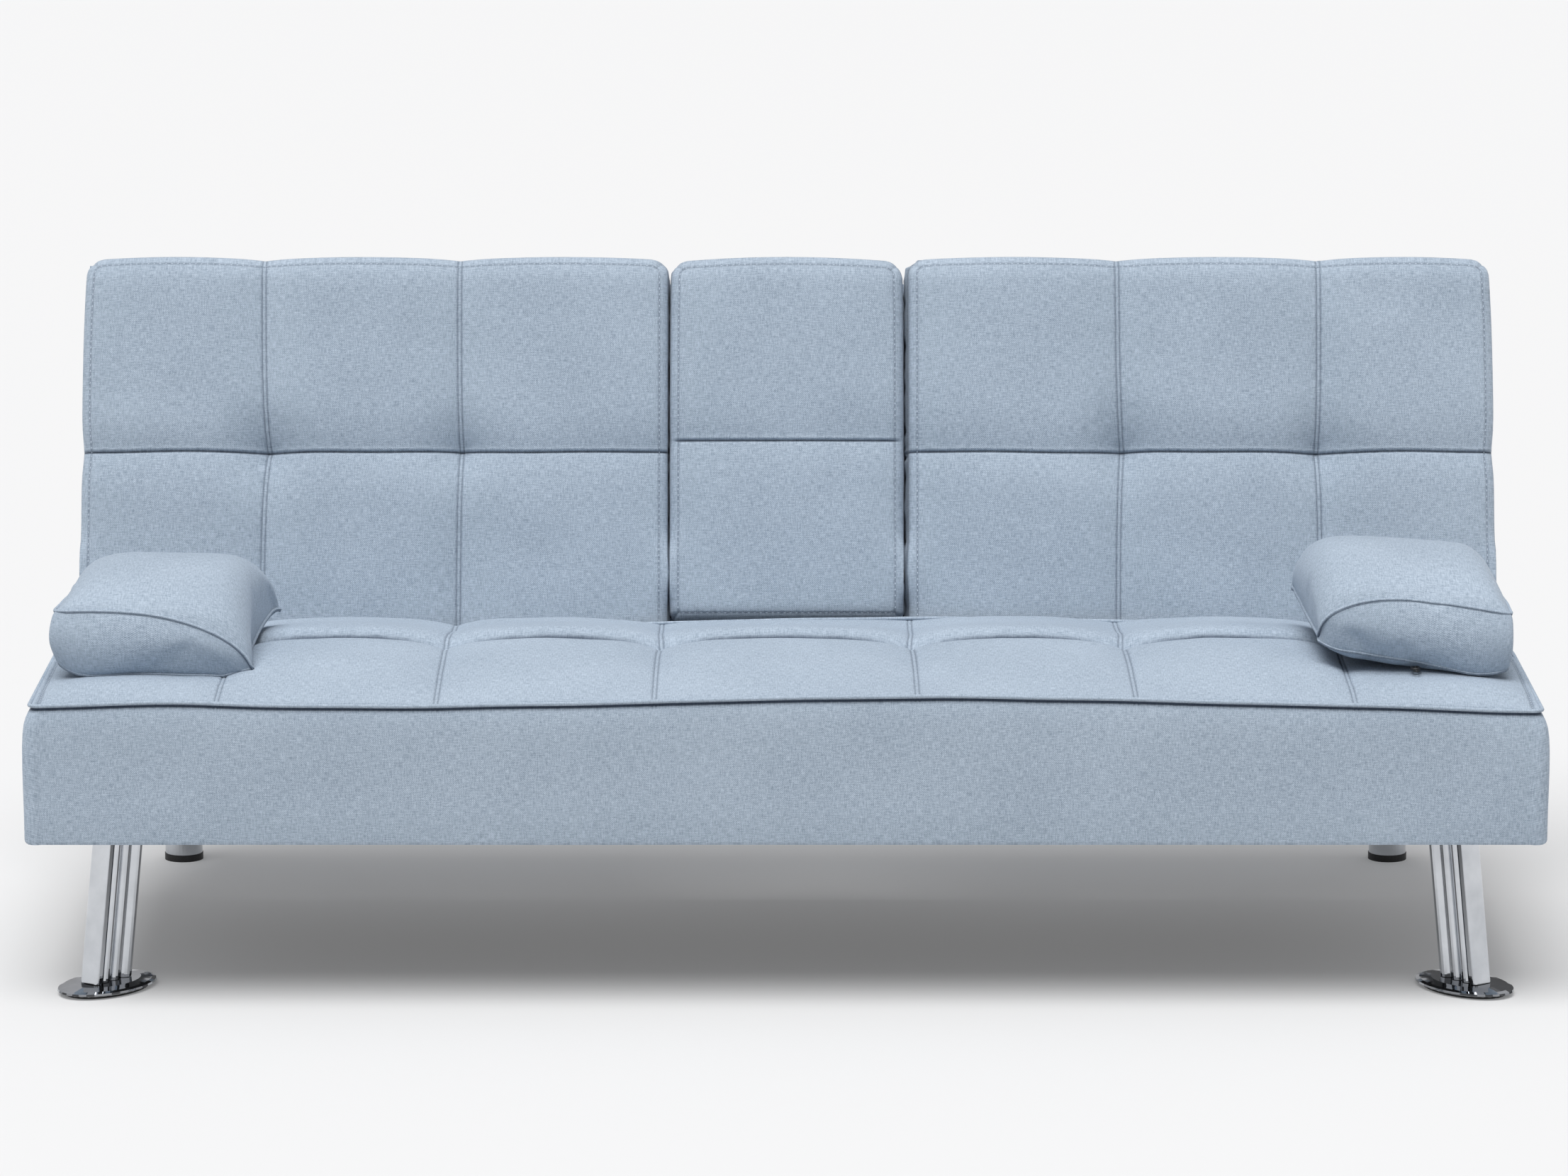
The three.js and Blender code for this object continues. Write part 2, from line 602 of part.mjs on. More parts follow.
// The cushion's side outline: its lower back corner is cut away so that it clears the frame as it
// swings about the pivot.
function consoleOutline(inset) {
  const front = -HALF_THICK + inset;
  const low = CONSOLE_BOTTOM + inset;
  const top = CONSOLE_TOP - inset;
  const toe = 14 - inset;
  const brow = 24 - inset;
  const shape = new THREE.Shape();
  shape.moveTo(front + toe, low);
  shape.lineTo(-30 - inset, low);
  shape.lineTo(CUSHION_REAR, 70);
  shape.lineTo(CUSHION_REAR, top - 4);
  shape.lineTo(CUSHION_REAR - 4, top);
  shape.absarc(front + brow, top - brow, brow, Math.PI / 2, Math.PI);
  shape.absarc(front + toe, low + toe, toe, Math.PI, 1.5 * Math.PI);
  return shape;
}

function consoleCushion() {
  const body = (half, inset) => {
    const radius = 20 - inset;
    const face = roundedOutline(-half, half, CONSOLE_BOTTOM + inset, CONSOLE_TOP - inset, [
      radius,
      radius,
      radius,
      radius,
    ]);
    const section = prismSolid(consoleOutline(inset), "x", -half, half);
    return section.intersect(prismSolid(face, "y", -HALF_THICK - 1, 0));
  };
  const reach = CONSOLE_TOP + 10;
  const mouth = blockSolid(-HALF_CONSOLE + COVER, HALF_CONSOLE - COVER, CUSHION_REAR - 5, 0, 75, reach - 22);
  const hollow = body(HALF_CONSOLE - COVER, COVER);
  piece(console_, "console_cover", body(HALF_CONSOLE, 0).subtract(hollow).subtract(mouth), fabric);
  const filling = body(HALF_CONSOLE - COVER - FIT, COVER + FIT);
  const stop = blockSolid(-200, 200, CUSHION_REAR - FIT, 0, 0, reach);
  piece(console_, "console_foam", filling.subtract(stop), foam);
}

// A moulded tub with two cup wells, open towards the board that it is screwed to.
function consoleTray() {
  const half = HALF_CONSOLE - 0.5;
  const frame = (inset) => {
    const low = 16 - inset;
    const high = BOARD_CORNER - inset;
    const sides = [-half + inset, half - inset, TRAY_Z[0] + inset, TRAY_Z[1] - inset];
    return roundedOutline(...sides, [low, low, high, high]);
  };
  const cup = (z, radius, y0, y1) => {
    const geometry = new THREE.CylinderGeometry(radius, radius, y1 - y0, 32);
    return solid(geometry.translate(0, (y0 + y1) / 2, z));
  };
  let tray = prismSolid(frame(0), "y", ...TRAY);
  tray = tray.subtract(prismSolid(frame(TRAY_WALL), "y", TRAY[0] - 1, TRAY[1] - TRAY_WALL));
  for (const z of CUP_Z) {
    const well = TRAY[1] - CUP_DEPTH;
    tray = tray.add(cup(z, CUP_RADIUS + 2.5, well - 2.5, TRAY[1] - 1));
    tray = tray.subtract(cup(z, CUP_RADIUS, well, TRAY[1] + 1));
  }
  return tray;
}

function consoleStrap(span) {
  const shape = new THREE.Shape();
  shape.absarc(-CONSOLE_AXIS_FORWARD, CONSOLE_AXIS_UP, 11, Math.PI, 1.85 * Math.PI);
  shape.lineTo(8, 78);
  shape.lineTo(30, 100);
  shape.lineTo(30, 190);
  shape.lineTo(6, 190);
  shape.lineTo(-8, 110);
  shape.absarc(-CONSOLE_AXIS_FORWARD, CONSOLE_AXIS_UP, 11, 0.6 * Math.PI, Math.PI);
  shape.holes.push(circle(-CONSOLE_AXIS_FORWARD, CONSOLE_AXIS_UP, 4 + RUNNING_GAP));
  shape.holes.push(circle(18, 125, 2.5), circle(18, 170, 2.5));
  return prism(shape, "x", ...span(HALF_CONSOLE + 0.5, HALF_CONSOLE + 3), 6);
}

function makeConsole() {
  consoleCushion();
  const half = HALF_CONSOLE - 0.5;
  const board = roundedOutline(-half, half, ...BOARD_Z, [4, 4, BOARD_CORNER, BOARD_CORNER]);
  piece(console_, "console_board", prism(board, "y", ...BOARD, 6), plywood);
  piece(console_, "console_tray", consoleTray(), blackPlastic);
  bothEnds((end, side, span) => {
    piece(console_, `console_strap_${end}`, consoleStrap(span), blackSteel);
  });
}

// ---- loose arm pillows ------------------------------------------------------------------------------------------

const PILLOW_OUTER = 814;
const PILLOW_INNER = 578;
const PILLOW_S = [128, 428];
const PILLOW_HEIGHT = 106;

// A wedge-like section: tall on the outer side, rounding over to a thin inner edge.
function pillowSolid(side) {
  const at = (distance) => side * distance;
  const base = SEAT_TOP + FIT;
  const shape = new THREE.Shape();
  shape.moveTo(at(PILLOW_OUTER - 12), base);
  shape.quadraticCurveTo(at(PILLOW_OUTER), base + 4, at(PILLOW_OUTER), base + 30);
  shape.quadraticCurveTo(at(PILLOW_OUTER), base + 82, at(786), base + 95);
  shape.quadraticCurveTo(at(735), base + PILLOW_HEIGHT + 8, at(680), base + 98);
  shape.quadraticCurveTo(at(605), base + 82, at(PILLOW_INNER), base + 24);
  shape.quadraticCurveTo(at(PILLOW_INNER + 2), base + 4, at(PILLOW_INNER + 24), base);
  const across = prismSolid(shape, "y", ...PILLOW_S, 6);
  const ends = roundedOutline(...PILLOW_S, base, base + PILLOW_HEIGHT, [12, 12, 26, 26]);
  return across.intersect(prismSolid(ends, "x", -HALF_SEAT, HALF_SEAT));
}

// ---- the whole sofa ------------------------------------------------------------------------------------------------

const pawls = new THREE.Group();
pawls.position.copy(seat.position);
const console_ = new THREE.Group();
const pillows = new THREE.Group();
pillows.position.copy(seat.position);
sofa.add(pawls, pillows);
backrest.add(console_);

seatUpholstery();
seatFrame();
frontLegs();
rearSupport();
hinges(pawls);
backPads();
backFrame();
makeConsole();
bothEnds((end, side) => piece(pillows, `pillow_${end}`, pillowSolid(side), fabric));

export default sofa;
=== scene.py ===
"""Looks of the click-clack futon sofa bed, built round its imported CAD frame. Metres, +Z up."""

import json
import math

import bpy
import numpy as np
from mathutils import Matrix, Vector


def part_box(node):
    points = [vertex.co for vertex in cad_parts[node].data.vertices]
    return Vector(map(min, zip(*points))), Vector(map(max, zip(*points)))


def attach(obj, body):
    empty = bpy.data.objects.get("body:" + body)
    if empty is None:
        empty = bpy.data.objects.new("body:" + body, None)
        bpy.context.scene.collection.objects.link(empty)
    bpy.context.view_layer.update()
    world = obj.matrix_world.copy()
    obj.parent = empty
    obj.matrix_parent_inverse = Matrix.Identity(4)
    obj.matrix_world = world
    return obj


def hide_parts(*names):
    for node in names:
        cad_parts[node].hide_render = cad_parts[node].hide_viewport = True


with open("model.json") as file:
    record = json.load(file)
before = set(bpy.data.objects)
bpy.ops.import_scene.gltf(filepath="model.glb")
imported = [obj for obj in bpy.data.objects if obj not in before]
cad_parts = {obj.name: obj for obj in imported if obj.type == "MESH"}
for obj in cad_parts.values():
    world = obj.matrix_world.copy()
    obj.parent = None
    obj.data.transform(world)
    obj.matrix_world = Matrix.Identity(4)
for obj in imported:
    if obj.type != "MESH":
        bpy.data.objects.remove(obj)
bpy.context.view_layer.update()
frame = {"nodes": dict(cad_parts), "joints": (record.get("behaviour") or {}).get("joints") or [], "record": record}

MM = 0.001

# ---- places, from the frame --------------------------------------------------------------------

JOINTS = {joint["name"]: joint for joint in frame["joints"]}
HINGE = Vector(JOINTS["backrest_recline"]["pos_m"])
LEAN = math.radians(16)  # of the upright backrest, as in the CAD
SEAT_LOW, SEAT_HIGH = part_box("seat_cover")
SEAT_HALF = SEAT_HIGH.x
SEAT_DEPTH = SEAT_HIGH.y - SEAT_LOW.y
PAD_OUTER = -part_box("back_cover_left")[0].x
CONSOLE_SHIFT = 1.1 * MM  # to the right: its left edge stays on the CAD's, its right edge doesn't
CONSOLE_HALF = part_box("console_cover")[1].x + CONSOLE_SHIFT

BACK_HALF_THICK = 60 * MM
BACK_TOP = 446 * MM  # along the backrest, from the hinge axis
CONSOLE_BOTTOM = 12 * MM
CONSOLE_TOP = 440 * MM  # at its corners; the top is domed
CONSOLE_REAR = 12 * MM  # how far its flat back lies in front of the backrest's middle

SEAT_COLUMN_SEAMS = [-627 * MM, -385.5 * MM, -145 * MM, 145 * MM, 385.5 * MM, 627 * MM]
SEAT_ROW_SEAM = 300 * MM
LEFT_PAD = [-830 * MM, -616 * MM, -385 * MM, -139 * MM]  # edges and column seams
RIGHT_PAD = [145 * MM, 391 * MM, 629 * MM, 835 * MM]
BACK_OUTER_SEAM = 616 * MM
BACK_ROW_SEAM = 213 * MM
CONSOLE_ROW_SEAM = 226 * MM

# ---- camera, floor and light -------------------------------------------------------------------


def add_camera():
    """A long lens, far in front of the sofa and above it, tipped down by `pitch` radians."""
    distance, height, aside, pitch = 7.365, 1.890, -0.002, 0.19
    data = bpy.data.cameras.new("camera")
    data.sensor_width = 36
    data.lens = 157.3
    data.clip_end = 200
    camera = bpy.data.objects.new("camera", data)
    bpy.context.scene.collection.objects.link(camera)
    camera.location = (aside, SEAT_LOW.y - distance, height)
    camera.rotation_euler = (math.pi / 2 - pitch, 0, 0)
    bpy.context.scene.camera = camera


def add_sun(name, azimuth, elevation, strength, softness):
    """A sun at azimuth, counted from the front towards +X, and elevation, and softness wide.

    All three are in degrees.
    """
    data = bpy.data.lights.new(name, "SUN")
    data.energy = strength
    data.angle = math.radians(softness)
    sun = bpy.data.objects.new(name, data)
    bpy.context.scene.collection.objects.link(sun)
    a, e = math.radians(azimuth), math.radians(elevation)
    towards = Vector((math.sin(a) * math.cos(e), -math.cos(a) * math.cos(e), math.sin(e)))
    sun.rotation_euler = towards.to_track_quat("Z", "Y").to_euler()


def add_world():
    """A studio: bright above, with dim bands near the horizon that give chrome its dark stripes.

    It only lights the sofa: the camera sees a plain pale backdrop in its place.
    """
    bands, band_edge, band_top, band_dim, pale = 7.0, 0.15, 0.45, 0.75, 0.93
    world = bpy.data.worlds.new("studio")
    bpy.context.scene.world = world
    world.use_nodes = True
    nodes, links = world.node_tree.nodes, world.node_tree.links
    background = nodes["Background"]
    where = nodes.new("ShaderNodeTexCoord")
    split = nodes.new("ShaderNodeSeparateXYZ")
    links.new(where.outputs["Generated"], split.inputs[0])
    ramp = nodes.new("ShaderNodeValToRGB")
    stops = [(0.0, 0.28), (0.50, 0.34), (0.62, 0.42), (0.80, 0.48), (1.0, 0.52)]
    set_stops(ramp, [(at, (v, v, v * 1.02)) for at, v in stops])
    lift = math_node(nodes, links, "MULTIPLY_ADD", split.outputs["Z"], 0.5, 0.5)
    links.new(lift, ramp.inputs[0])
    angle = math_node(nodes, links, "ARCTAN2", split.outputs["X"], split.outputs["Y"])
    waves = math_node(nodes, links, "SINE", math_node(nodes, links, "MULTIPLY", angle, bands))
    narrow = math_node(nodes, links, "GREATER_THAN", waves, band_edge)
    low = math_node(nodes, links, "LESS_THAN", split.outputs["Z"], band_top)
    dim = math_node(nodes, links, "MULTIPLY", narrow, low)
    keep = math_node(nodes, links, "MULTIPLY_ADD", dim, -band_dim, 1.0)
    links.new(ramp.outputs[0], background.inputs["Color"])
    seen = nodes.new("ShaderNodeLightPath").outputs["Is Camera Ray"]
    backdrop = nodes.new("ShaderNodeBackground")
    backdrop.inputs["Color"].default_value = (pale, pale, pale, 1)
    both = nodes.new("ShaderNodeMixShader")
    links.new(keep, background.inputs["Strength"])
    links.new(seen, both.inputs[0])
    links.new(background.outputs[0], both.inputs[1])
    links.new(backdrop.outputs[0], both.inputs[2])
    links.new(both.outputs[0], nodes["World Output"].inputs["Surface"])


def add_floor():
    """A wide grey floor with a little light of its own."""
    half, grey, glow = 40, 0.60, 0.13
    mesh = bpy.data.meshes.new("floor")
    corners = [(-half, -half, 0), (half, -half, 0), (half, half, 0), (-half, half, 0)]
    mesh.from_pydata(corners, [], [(0, 1, 2, 3)])
    floor = bpy.data.objects.new("floor", mesh)
    bpy.context.scene.collection.objects.link(floor)
    material = bpy.data.materials.new("floor")
    material.use_nodes = True
    shader = material.node_tree.nodes["Principled BSDF"]
    shader.inputs["Base Color"].default_value = (grey, grey, grey, 1)
    shader.inputs["Roughness"].default_value = 0.9
    shader.inputs["Specular IOR Level"].default_value = 0.1
    shader.inputs["Emission Color"].default_value = (1, 1, 1, 1)
    shader.inputs["Emission Strength"].default_value = glow
    mesh.materials.append(material)


# ---- node helpers ------------------------------------------------------------------------------


def set_stops(ramp, stops):
    """Gives a colour ramp its stops, each a place and an (r, g, b)."""
    elements = ramp.color_ramp.elements
    while len(elements) < len(stops):
        elements.new(1.0)
    for element, (place, colour) in zip(elements, stops):
        element.position = place
        element.color = (*colour, 1)


def math_node(nodes, links, operation, *values):
    node = nodes.new("ShaderNodeMath")
    node.operation = operation
    for socket, value in zip(node.inputs, values):
        if isinstance(value, (int, float)):
            socket.default_value = value
        else:
            links.new(value, socket)
    return node.outputs[0]


def stretched_noise(nodes, links, source, scale, detail=2.0, roughness=0.5):
    """Noise over `source`, with its own number of cells per metre along each axis."""
    mapping = nodes.new("ShaderNodeMapping")
    mapping.inputs["Scale"].default_value = scale
    links.new(source, mapping.inputs["Vector"])
    texture = nodes.new("ShaderNodeTexNoise")
    texture.inputs["Scale"].default_value = 1.0
    texture.inputs["Detail"].default_value = detail
    texture.inputs["Roughness"].default_value = roughness
    links.new(mapping.outputs[0], texture.inputs["Vector"])
    return texture.outputs["Fac"]


def new_material(name):
    material = bpy.data.materials.new(name)
    material.use_nodes = True
    nodes, links = material.node_tree.nodes, material.node_tree.links
    return material, nodes, links, nodes["Principled BSDF"]


# ---- materials ---------------------------------------------------------------------------------

THREAD = 1.15 * MM  # pitch of the woven threads


def linen():
    """A plain melange weave over UVs in metres. The attribute `seam` paints shade into sewn creases."""
    dark, light, crease_shade = (0.240, 0.297, 0.366), (0.452, 0.530, 0.620), (0.13, 0.15, 0.19)
    material, nodes, links, shader = new_material("linen")
    uv = nodes.new("ShaderNodeUVMap").outputs[0]
    weft = stretched_noise(nodes, links, uv, (110, 820, 1), 2.5, 0.6)
    warp = stretched_noise(nodes, links, uv, (820, 110, 1), 2.5, 0.6)
    fleck = stretched_noise(nodes, links, uv, (560, 560, 1), 2.0, 0.7)
    broad = stretched_noise(nodes, links, uv, (7, 7, 1), 2.0, 0.5)
    threads = math_node(nodes, links, "ADD", weft, warp)
    mixed = math_node(nodes, links, "MULTIPLY_ADD", threads, 0.38, 0.0)
    mixed = math_node(nodes, links, "MULTIPLY_ADD", fleck, 0.16, mixed)
    mixed = math_node(nodes, links, "MULTIPLY_ADD", broad, 0.10, mixed)
    ramp = nodes.new("ShaderNodeValToRGB")
    set_stops(ramp, [(0.39, dark), (0.61, light)])
    links.new(mixed, ramp.inputs[0])

    # painted shade: the attribute `seam` multiplies the colour towards a dark blue, standing in for shadow in
    # creases and under welts
    seam = nodes.new("ShaderNodeAttribute")
    seam.attribute_name = "seam"
    shade = nodes.new("ShaderNodeMix")
    shade.data_type = "RGBA"
    shade.blend_type = "MULTIPLY"
    links.new(seam.outputs["Fac"], shade.inputs["Factor"])
    links.new(ramp.outputs[0], shade.inputs["A"])
    shade.inputs["B"].default_value = (*crease_shade, 1)
    links.new(shade.outputs["Result"], shader.inputs["Base Color"])

    split = nodes.new("ShaderNodeSeparateXYZ")
    links.new(uv, split.inputs[0])

    def wave(axis):
        turns = math_node(nodes, links, "MULTIPLY", split.outputs[axis], math.pi / THREAD)
        return math_node(nodes, links, "SINE", turns)

    weave = math_node(nodes, links, "MULTIPLY", wave("X"), wave("Y"))
    height = math_node(nodes, links, "MULTIPLY_ADD", weave, 0.35, mixed)
    bump = nodes.new("ShaderNodeBump")
    bump.inputs["Strength"].default_value = 0.55
    bump.inputs["Distance"].default_value = 0.0006
    links.new(height, bump.inputs["Height"])
    folds = nodes.new("ShaderNodeBump")
    folds.inputs["Strength"].default_value = 0.4
    folds.inputs["Distance"].default_value = 0.0022
    links.new(stretched_noise(nodes, links, uv, (34, 13, 1), 3.0, 0.55), folds.inputs["Height"])
    links.new(folds.outputs[0], bump.inputs["Normal"])
    links.new(bump.outputs[0], shader.inputs["Normal"])
    shader.inputs["Roughness"].default_value = 0.92
    shader.inputs["Specular IOR Level"].default_value = 0.25
    shader.inputs["Sheen Weight"].default_value = 0.22
    shader.inputs["Sheen Roughness"].default_value = 0.45
    shader.inputs["Sheen Tint"].default_value = (0.86, 0.92, 1.0, 1)
    return material


def thread_material():
    material, nodes, links, shader = new_material("sewing_thread")
    where = nodes.new("ShaderNodeTexCoord").outputs["Object"]
    twist = stretched_noise(nodes, links, where, (900, 900, 900))
    ramp = nodes.new("ShaderNodeValToRGB")
    set_stops(ramp, [(0.3, (0.40, 0.47, 0.56)), (0.7, (0.58, 0.66, 0.76))])
    links.new(twist, ramp.inputs[0])
    links.new(ramp.outputs[0], shader.inputs["Base Color"])
    shader.inputs["Roughness"].default_value = 0.7
    return material


def mottled(name, dark, light, scale, roughness, spread=0.0, metallic=0.0, bump=0.0):
    """A surface of two near colours with its own roughness variation and fine relief."""
    material, nodes, links, shader = new_material(name)
    where = nodes.new("ShaderNodeTexCoord").outputs["Object"]
    fac = stretched_noise(nodes, links, where, scale, 4.0, 0.6)
    ramp = nodes.new("ShaderNodeValToRGB")
    set_stops(ramp, [(0.35, dark), (0.65, light)])
    links.new(fac, ramp.inputs[0])
    links.new(ramp.outputs[0], shader.inputs["Base Color"])
    shader.inputs["Metallic"].default_value = metallic
    if spread:
        rough = math_node(nodes, links, "MULTIPLY_ADD", fac, spread, roughness - spread / 2)
        links.new(rough, shader.inputs["Roughness"])
    else:
        shader.inputs["Roughness"].default_value = roughness
    if bump:
        relief = nodes.new("ShaderNodeBump")
        relief.inputs["Strength"].default_value = 0.4
        relief.inputs["Distance"].default_value = bump
        links.new(fac, relief.inputs["Height"])
        links.new(relief.outputs[0], shader.inputs["Normal"])
    return material


# ---- mesh helpers ------------------------------------------------------------------------------

NEAR_SEAM = np.array([0, 1.1, 2.2, 3.3, 4.6, 6.4, 9, 13, 19, 27]) * MM
NEAR_STITCHES = NEAR_SEAM[:4]
SMALLEST_CELL = 0.7 * MM


def grid_lines(low, high, seams, stitched=(), coarse=13 * MM):
    """Places from low to high, crowded round the seams, the stitched lines and both ends."""
    near = [m + sign * off for m in (*seams, low, high) for off in NEAR_SEAM for sign in (-1, 1)]
    near += [m + sign * off for m in stitched for off in NEAR_STITCHES for sign in (-1, 1)]
    inside = sorted(p for p in near if low < p < high)
    lines = [low]
    for place in (*inside, high):
        gap = place - lines[-1]
        if gap < SMALLEST_CELL:
            if place == high:
                lines[-1] = high
            continue
        pieces = max(1, math.ceil(gap / coarse))
        lines.extend(place - gap * k / pieces for k in range(pieces - 1, -1, -1))
    return np.array(lines)


def ease(distance, radius):
    """0 at an edge, rising on a quarter circle to 1 at `radius` from it."""
    t = np.clip(distance / radius, 0, 1)
    return np.sqrt(1 - (1 - t) ** 2)


def step(value, start, end):
    """A smooth step from 0 at start to 1 at end."""
    t = np.clip((value - start) / (end - start), 0, 1)
    return t * t * (3 - 2 * t)


def swell(place, edges, power=2.0, root=0.9):
    """0 at each edge of the cells and 1 in their middles."""
    edges = np.asarray(edges)
    cell = np.clip(np.searchsorted(edges, place, "right") - 1, 0, len(edges) - 2)
    low, high = edges[cell], edges[cell + 1]
    u = np.clip(2 * (place - low) / (high - low) - 1, -1, 1)
    return (1 - np.abs(u) ** power) ** root


def dip(distance, reach):
    """1 at a seam, falling to 0 at `reach` from it."""
    return (1 - np.clip(distance / reach, 0, 1)) ** 2


def bell(distance, width):
    """1 at no distance, falling away on both sides."""
    return np.exp(-((distance / width) ** 2))


def ripple(place, seed, wavelengths=(0.019, 0.031, 0.047)):
    """A steady wobble between about -1 and 1."""
    phases = np.random.default_rng(seed).uniform(0, 2 * math.pi, len(wavelengths))
    waves = [np.sin(2 * math.pi * place / w + p) for w, p in zip(wavelengths, phases)]
    return sum(waves) / 2


def nearest(place, marks):
    """Distance to the nearest mark, or a metre if there is none."""
    if not marks:
        return np.full_like(place, 1.0)
    return np.min([np.abs(place - m) for m in marks], axis=0)


STITCH_PAIR = 2.3 * MM  # from a column seam to the stitch line on each side of it


def tufts(a, b, columns, row, depths, seed, reaches=(55 * MM, 55 * MM)):
    """Relief of a panel sewn down along column seams and one row seam.

    depths are those of the arch between seams, a column seam, the row seam, and a dimple where
    the two cross. reaches says how far the row seam's hollow spreads before it and beyond it.
    Returns the broad relief, the fine relief of the sewing, and each crease's painted shade.
    """
    arch, column, across, dimple = depths
    da, db = nearest(a, columns[1:-1]), np.abs(b - row)
    hollow = dip(db, np.where(b < row, reaches[0], reaches[1]))
    broad = -arch * (1 - swell(a, columns)) - column * dip(da, 40 * MM) - across * hollow
    broad = broad - dimple * dip(np.hypot(da, db), 75 * MM)
    uneven = 1.1 * MM * ripple(a + 0.6 * b, seed + 2, (0.13, 0.21))
    broad = broad + uneven * ripple(b - 0.5 * a, seed + 3, (0.11, 0.17))

    lines = bell(da - STITCH_PAIR, 0.9 * MM)
    fold = bell(db, 1.5 * MM)
    fine = -1.5 * MM * lines - 2.6 * MM * fold + 0.8 * MM * bell(b - row - 3.4 * MM, 1.6 * MM)
    for distance, along, kind in ((da, b, 0), (db, a, 1)):
        pucker = np.exp(-distance / (13 * MM)) * (1 - np.exp(-distance / (3 * MM)))
        fine = fine + 0.8 * MM * pucker * ripple(along, seed + kind)
    # painted shade: darker along the stitch lines, darkest in the row seam's fold
    return broad, fine, np.maximum(0.55 * lines, 0.85 * bell(db, 1.3 * MM))


def stitched_groove(distance, inset):
    """The shallow line that top-stitching pulls down, `inset` from an edge, and its shade."""
    line = bell(distance - inset, 1.2 * MM)
    # the shade is painted: a darker line where the groove's shadow would be
    return -0.7 * MM * line, 0.45 * line


def round_corners(a, b, box, radii):
    """Bends the corners of a rectangle onto quarter circles. radii: lo-lo, hi-lo, hi-hi, lo-hi."""
    a0, a1, b0, b1 = box
    corners = [(a0, b0, 1, 1), (a1, b0, -1, 1), (a1, b1, -1, -1), (a0, b1, 1, -1)]
    for (ca, cb, sa, sb), r in zip(corners, radii):
        if r <= 0:
            continue
        va, vb = (r - (a - ca) * sa) / r, (r - (b - cb) * sb) / r
        inside = (va > 0) & (vb > 0)
        scale = np.where(inside, np.maximum(va, vb) / np.maximum(np.hypot(va, vb), 1e-9), 1)
        a = np.where(inside, ca + sa * (r - va * scale * r), a)
        b = np.where(inside, cb + sb * (r - vb * scale * r), b)
    return a, b


def loop_indices(n, m):
    """The boundary of an n by m grid, once round from its first corner."""
    loop = [(i, 0) for i in range(n)] + [(n - 1, j) for j in range(1, m)]
    return loop + [(i, m - 1) for i in range(n - 2, -1, -1)] + [(0, j) for j in range(m - 2, 0, -1)]


class Mesh:
    """Collects points with their crease shade, and faces with their own UVs in metres."""

    def __init__(self):
        self.points, self.seam, self.faces, self.uvs, self.count = [], [], [], [], 0

    def add(self, points, seam=None):
        points = np.asarray(points, float).reshape(-1, 3)
        start, self.count = self.count, self.count + len(points)
        self.points.append(points)
        self.seam.append(np.zeros(len(points)) if seam is None else np.asarray(seam, float).ravel())
        return start

    def face(self, corners, uvs):
        self.faces.append(corners)
        self.uvs.append(uvs)

    def make(self, name, material):
        mesh = bpy.data.meshes.new(name)
        mesh.from_pydata(np.concatenate(self.points).tolist(), [], self.faces)
        layer = mesh.uv_layers.new(name="UVMap")
        layer.data.foreach_set("uv", [c for uvs in self.uvs for uv in uvs for c in uv])
        shade = mesh.attributes.new("seam", "FLOAT", "POINT")
        shade.data.foreach_set("value", np.concatenate(self.seam))
        mesh.materials.append(material)
        mesh.polygons.foreach_set("use_smooth", [True] * len(mesh.polygons))
        mesh.update()
        piece = bpy.data.objects.new(name, mesh)
        bpy.context.scene.collection.objects.link(piece)
        return piece


def straight(a, b):
    return a, b


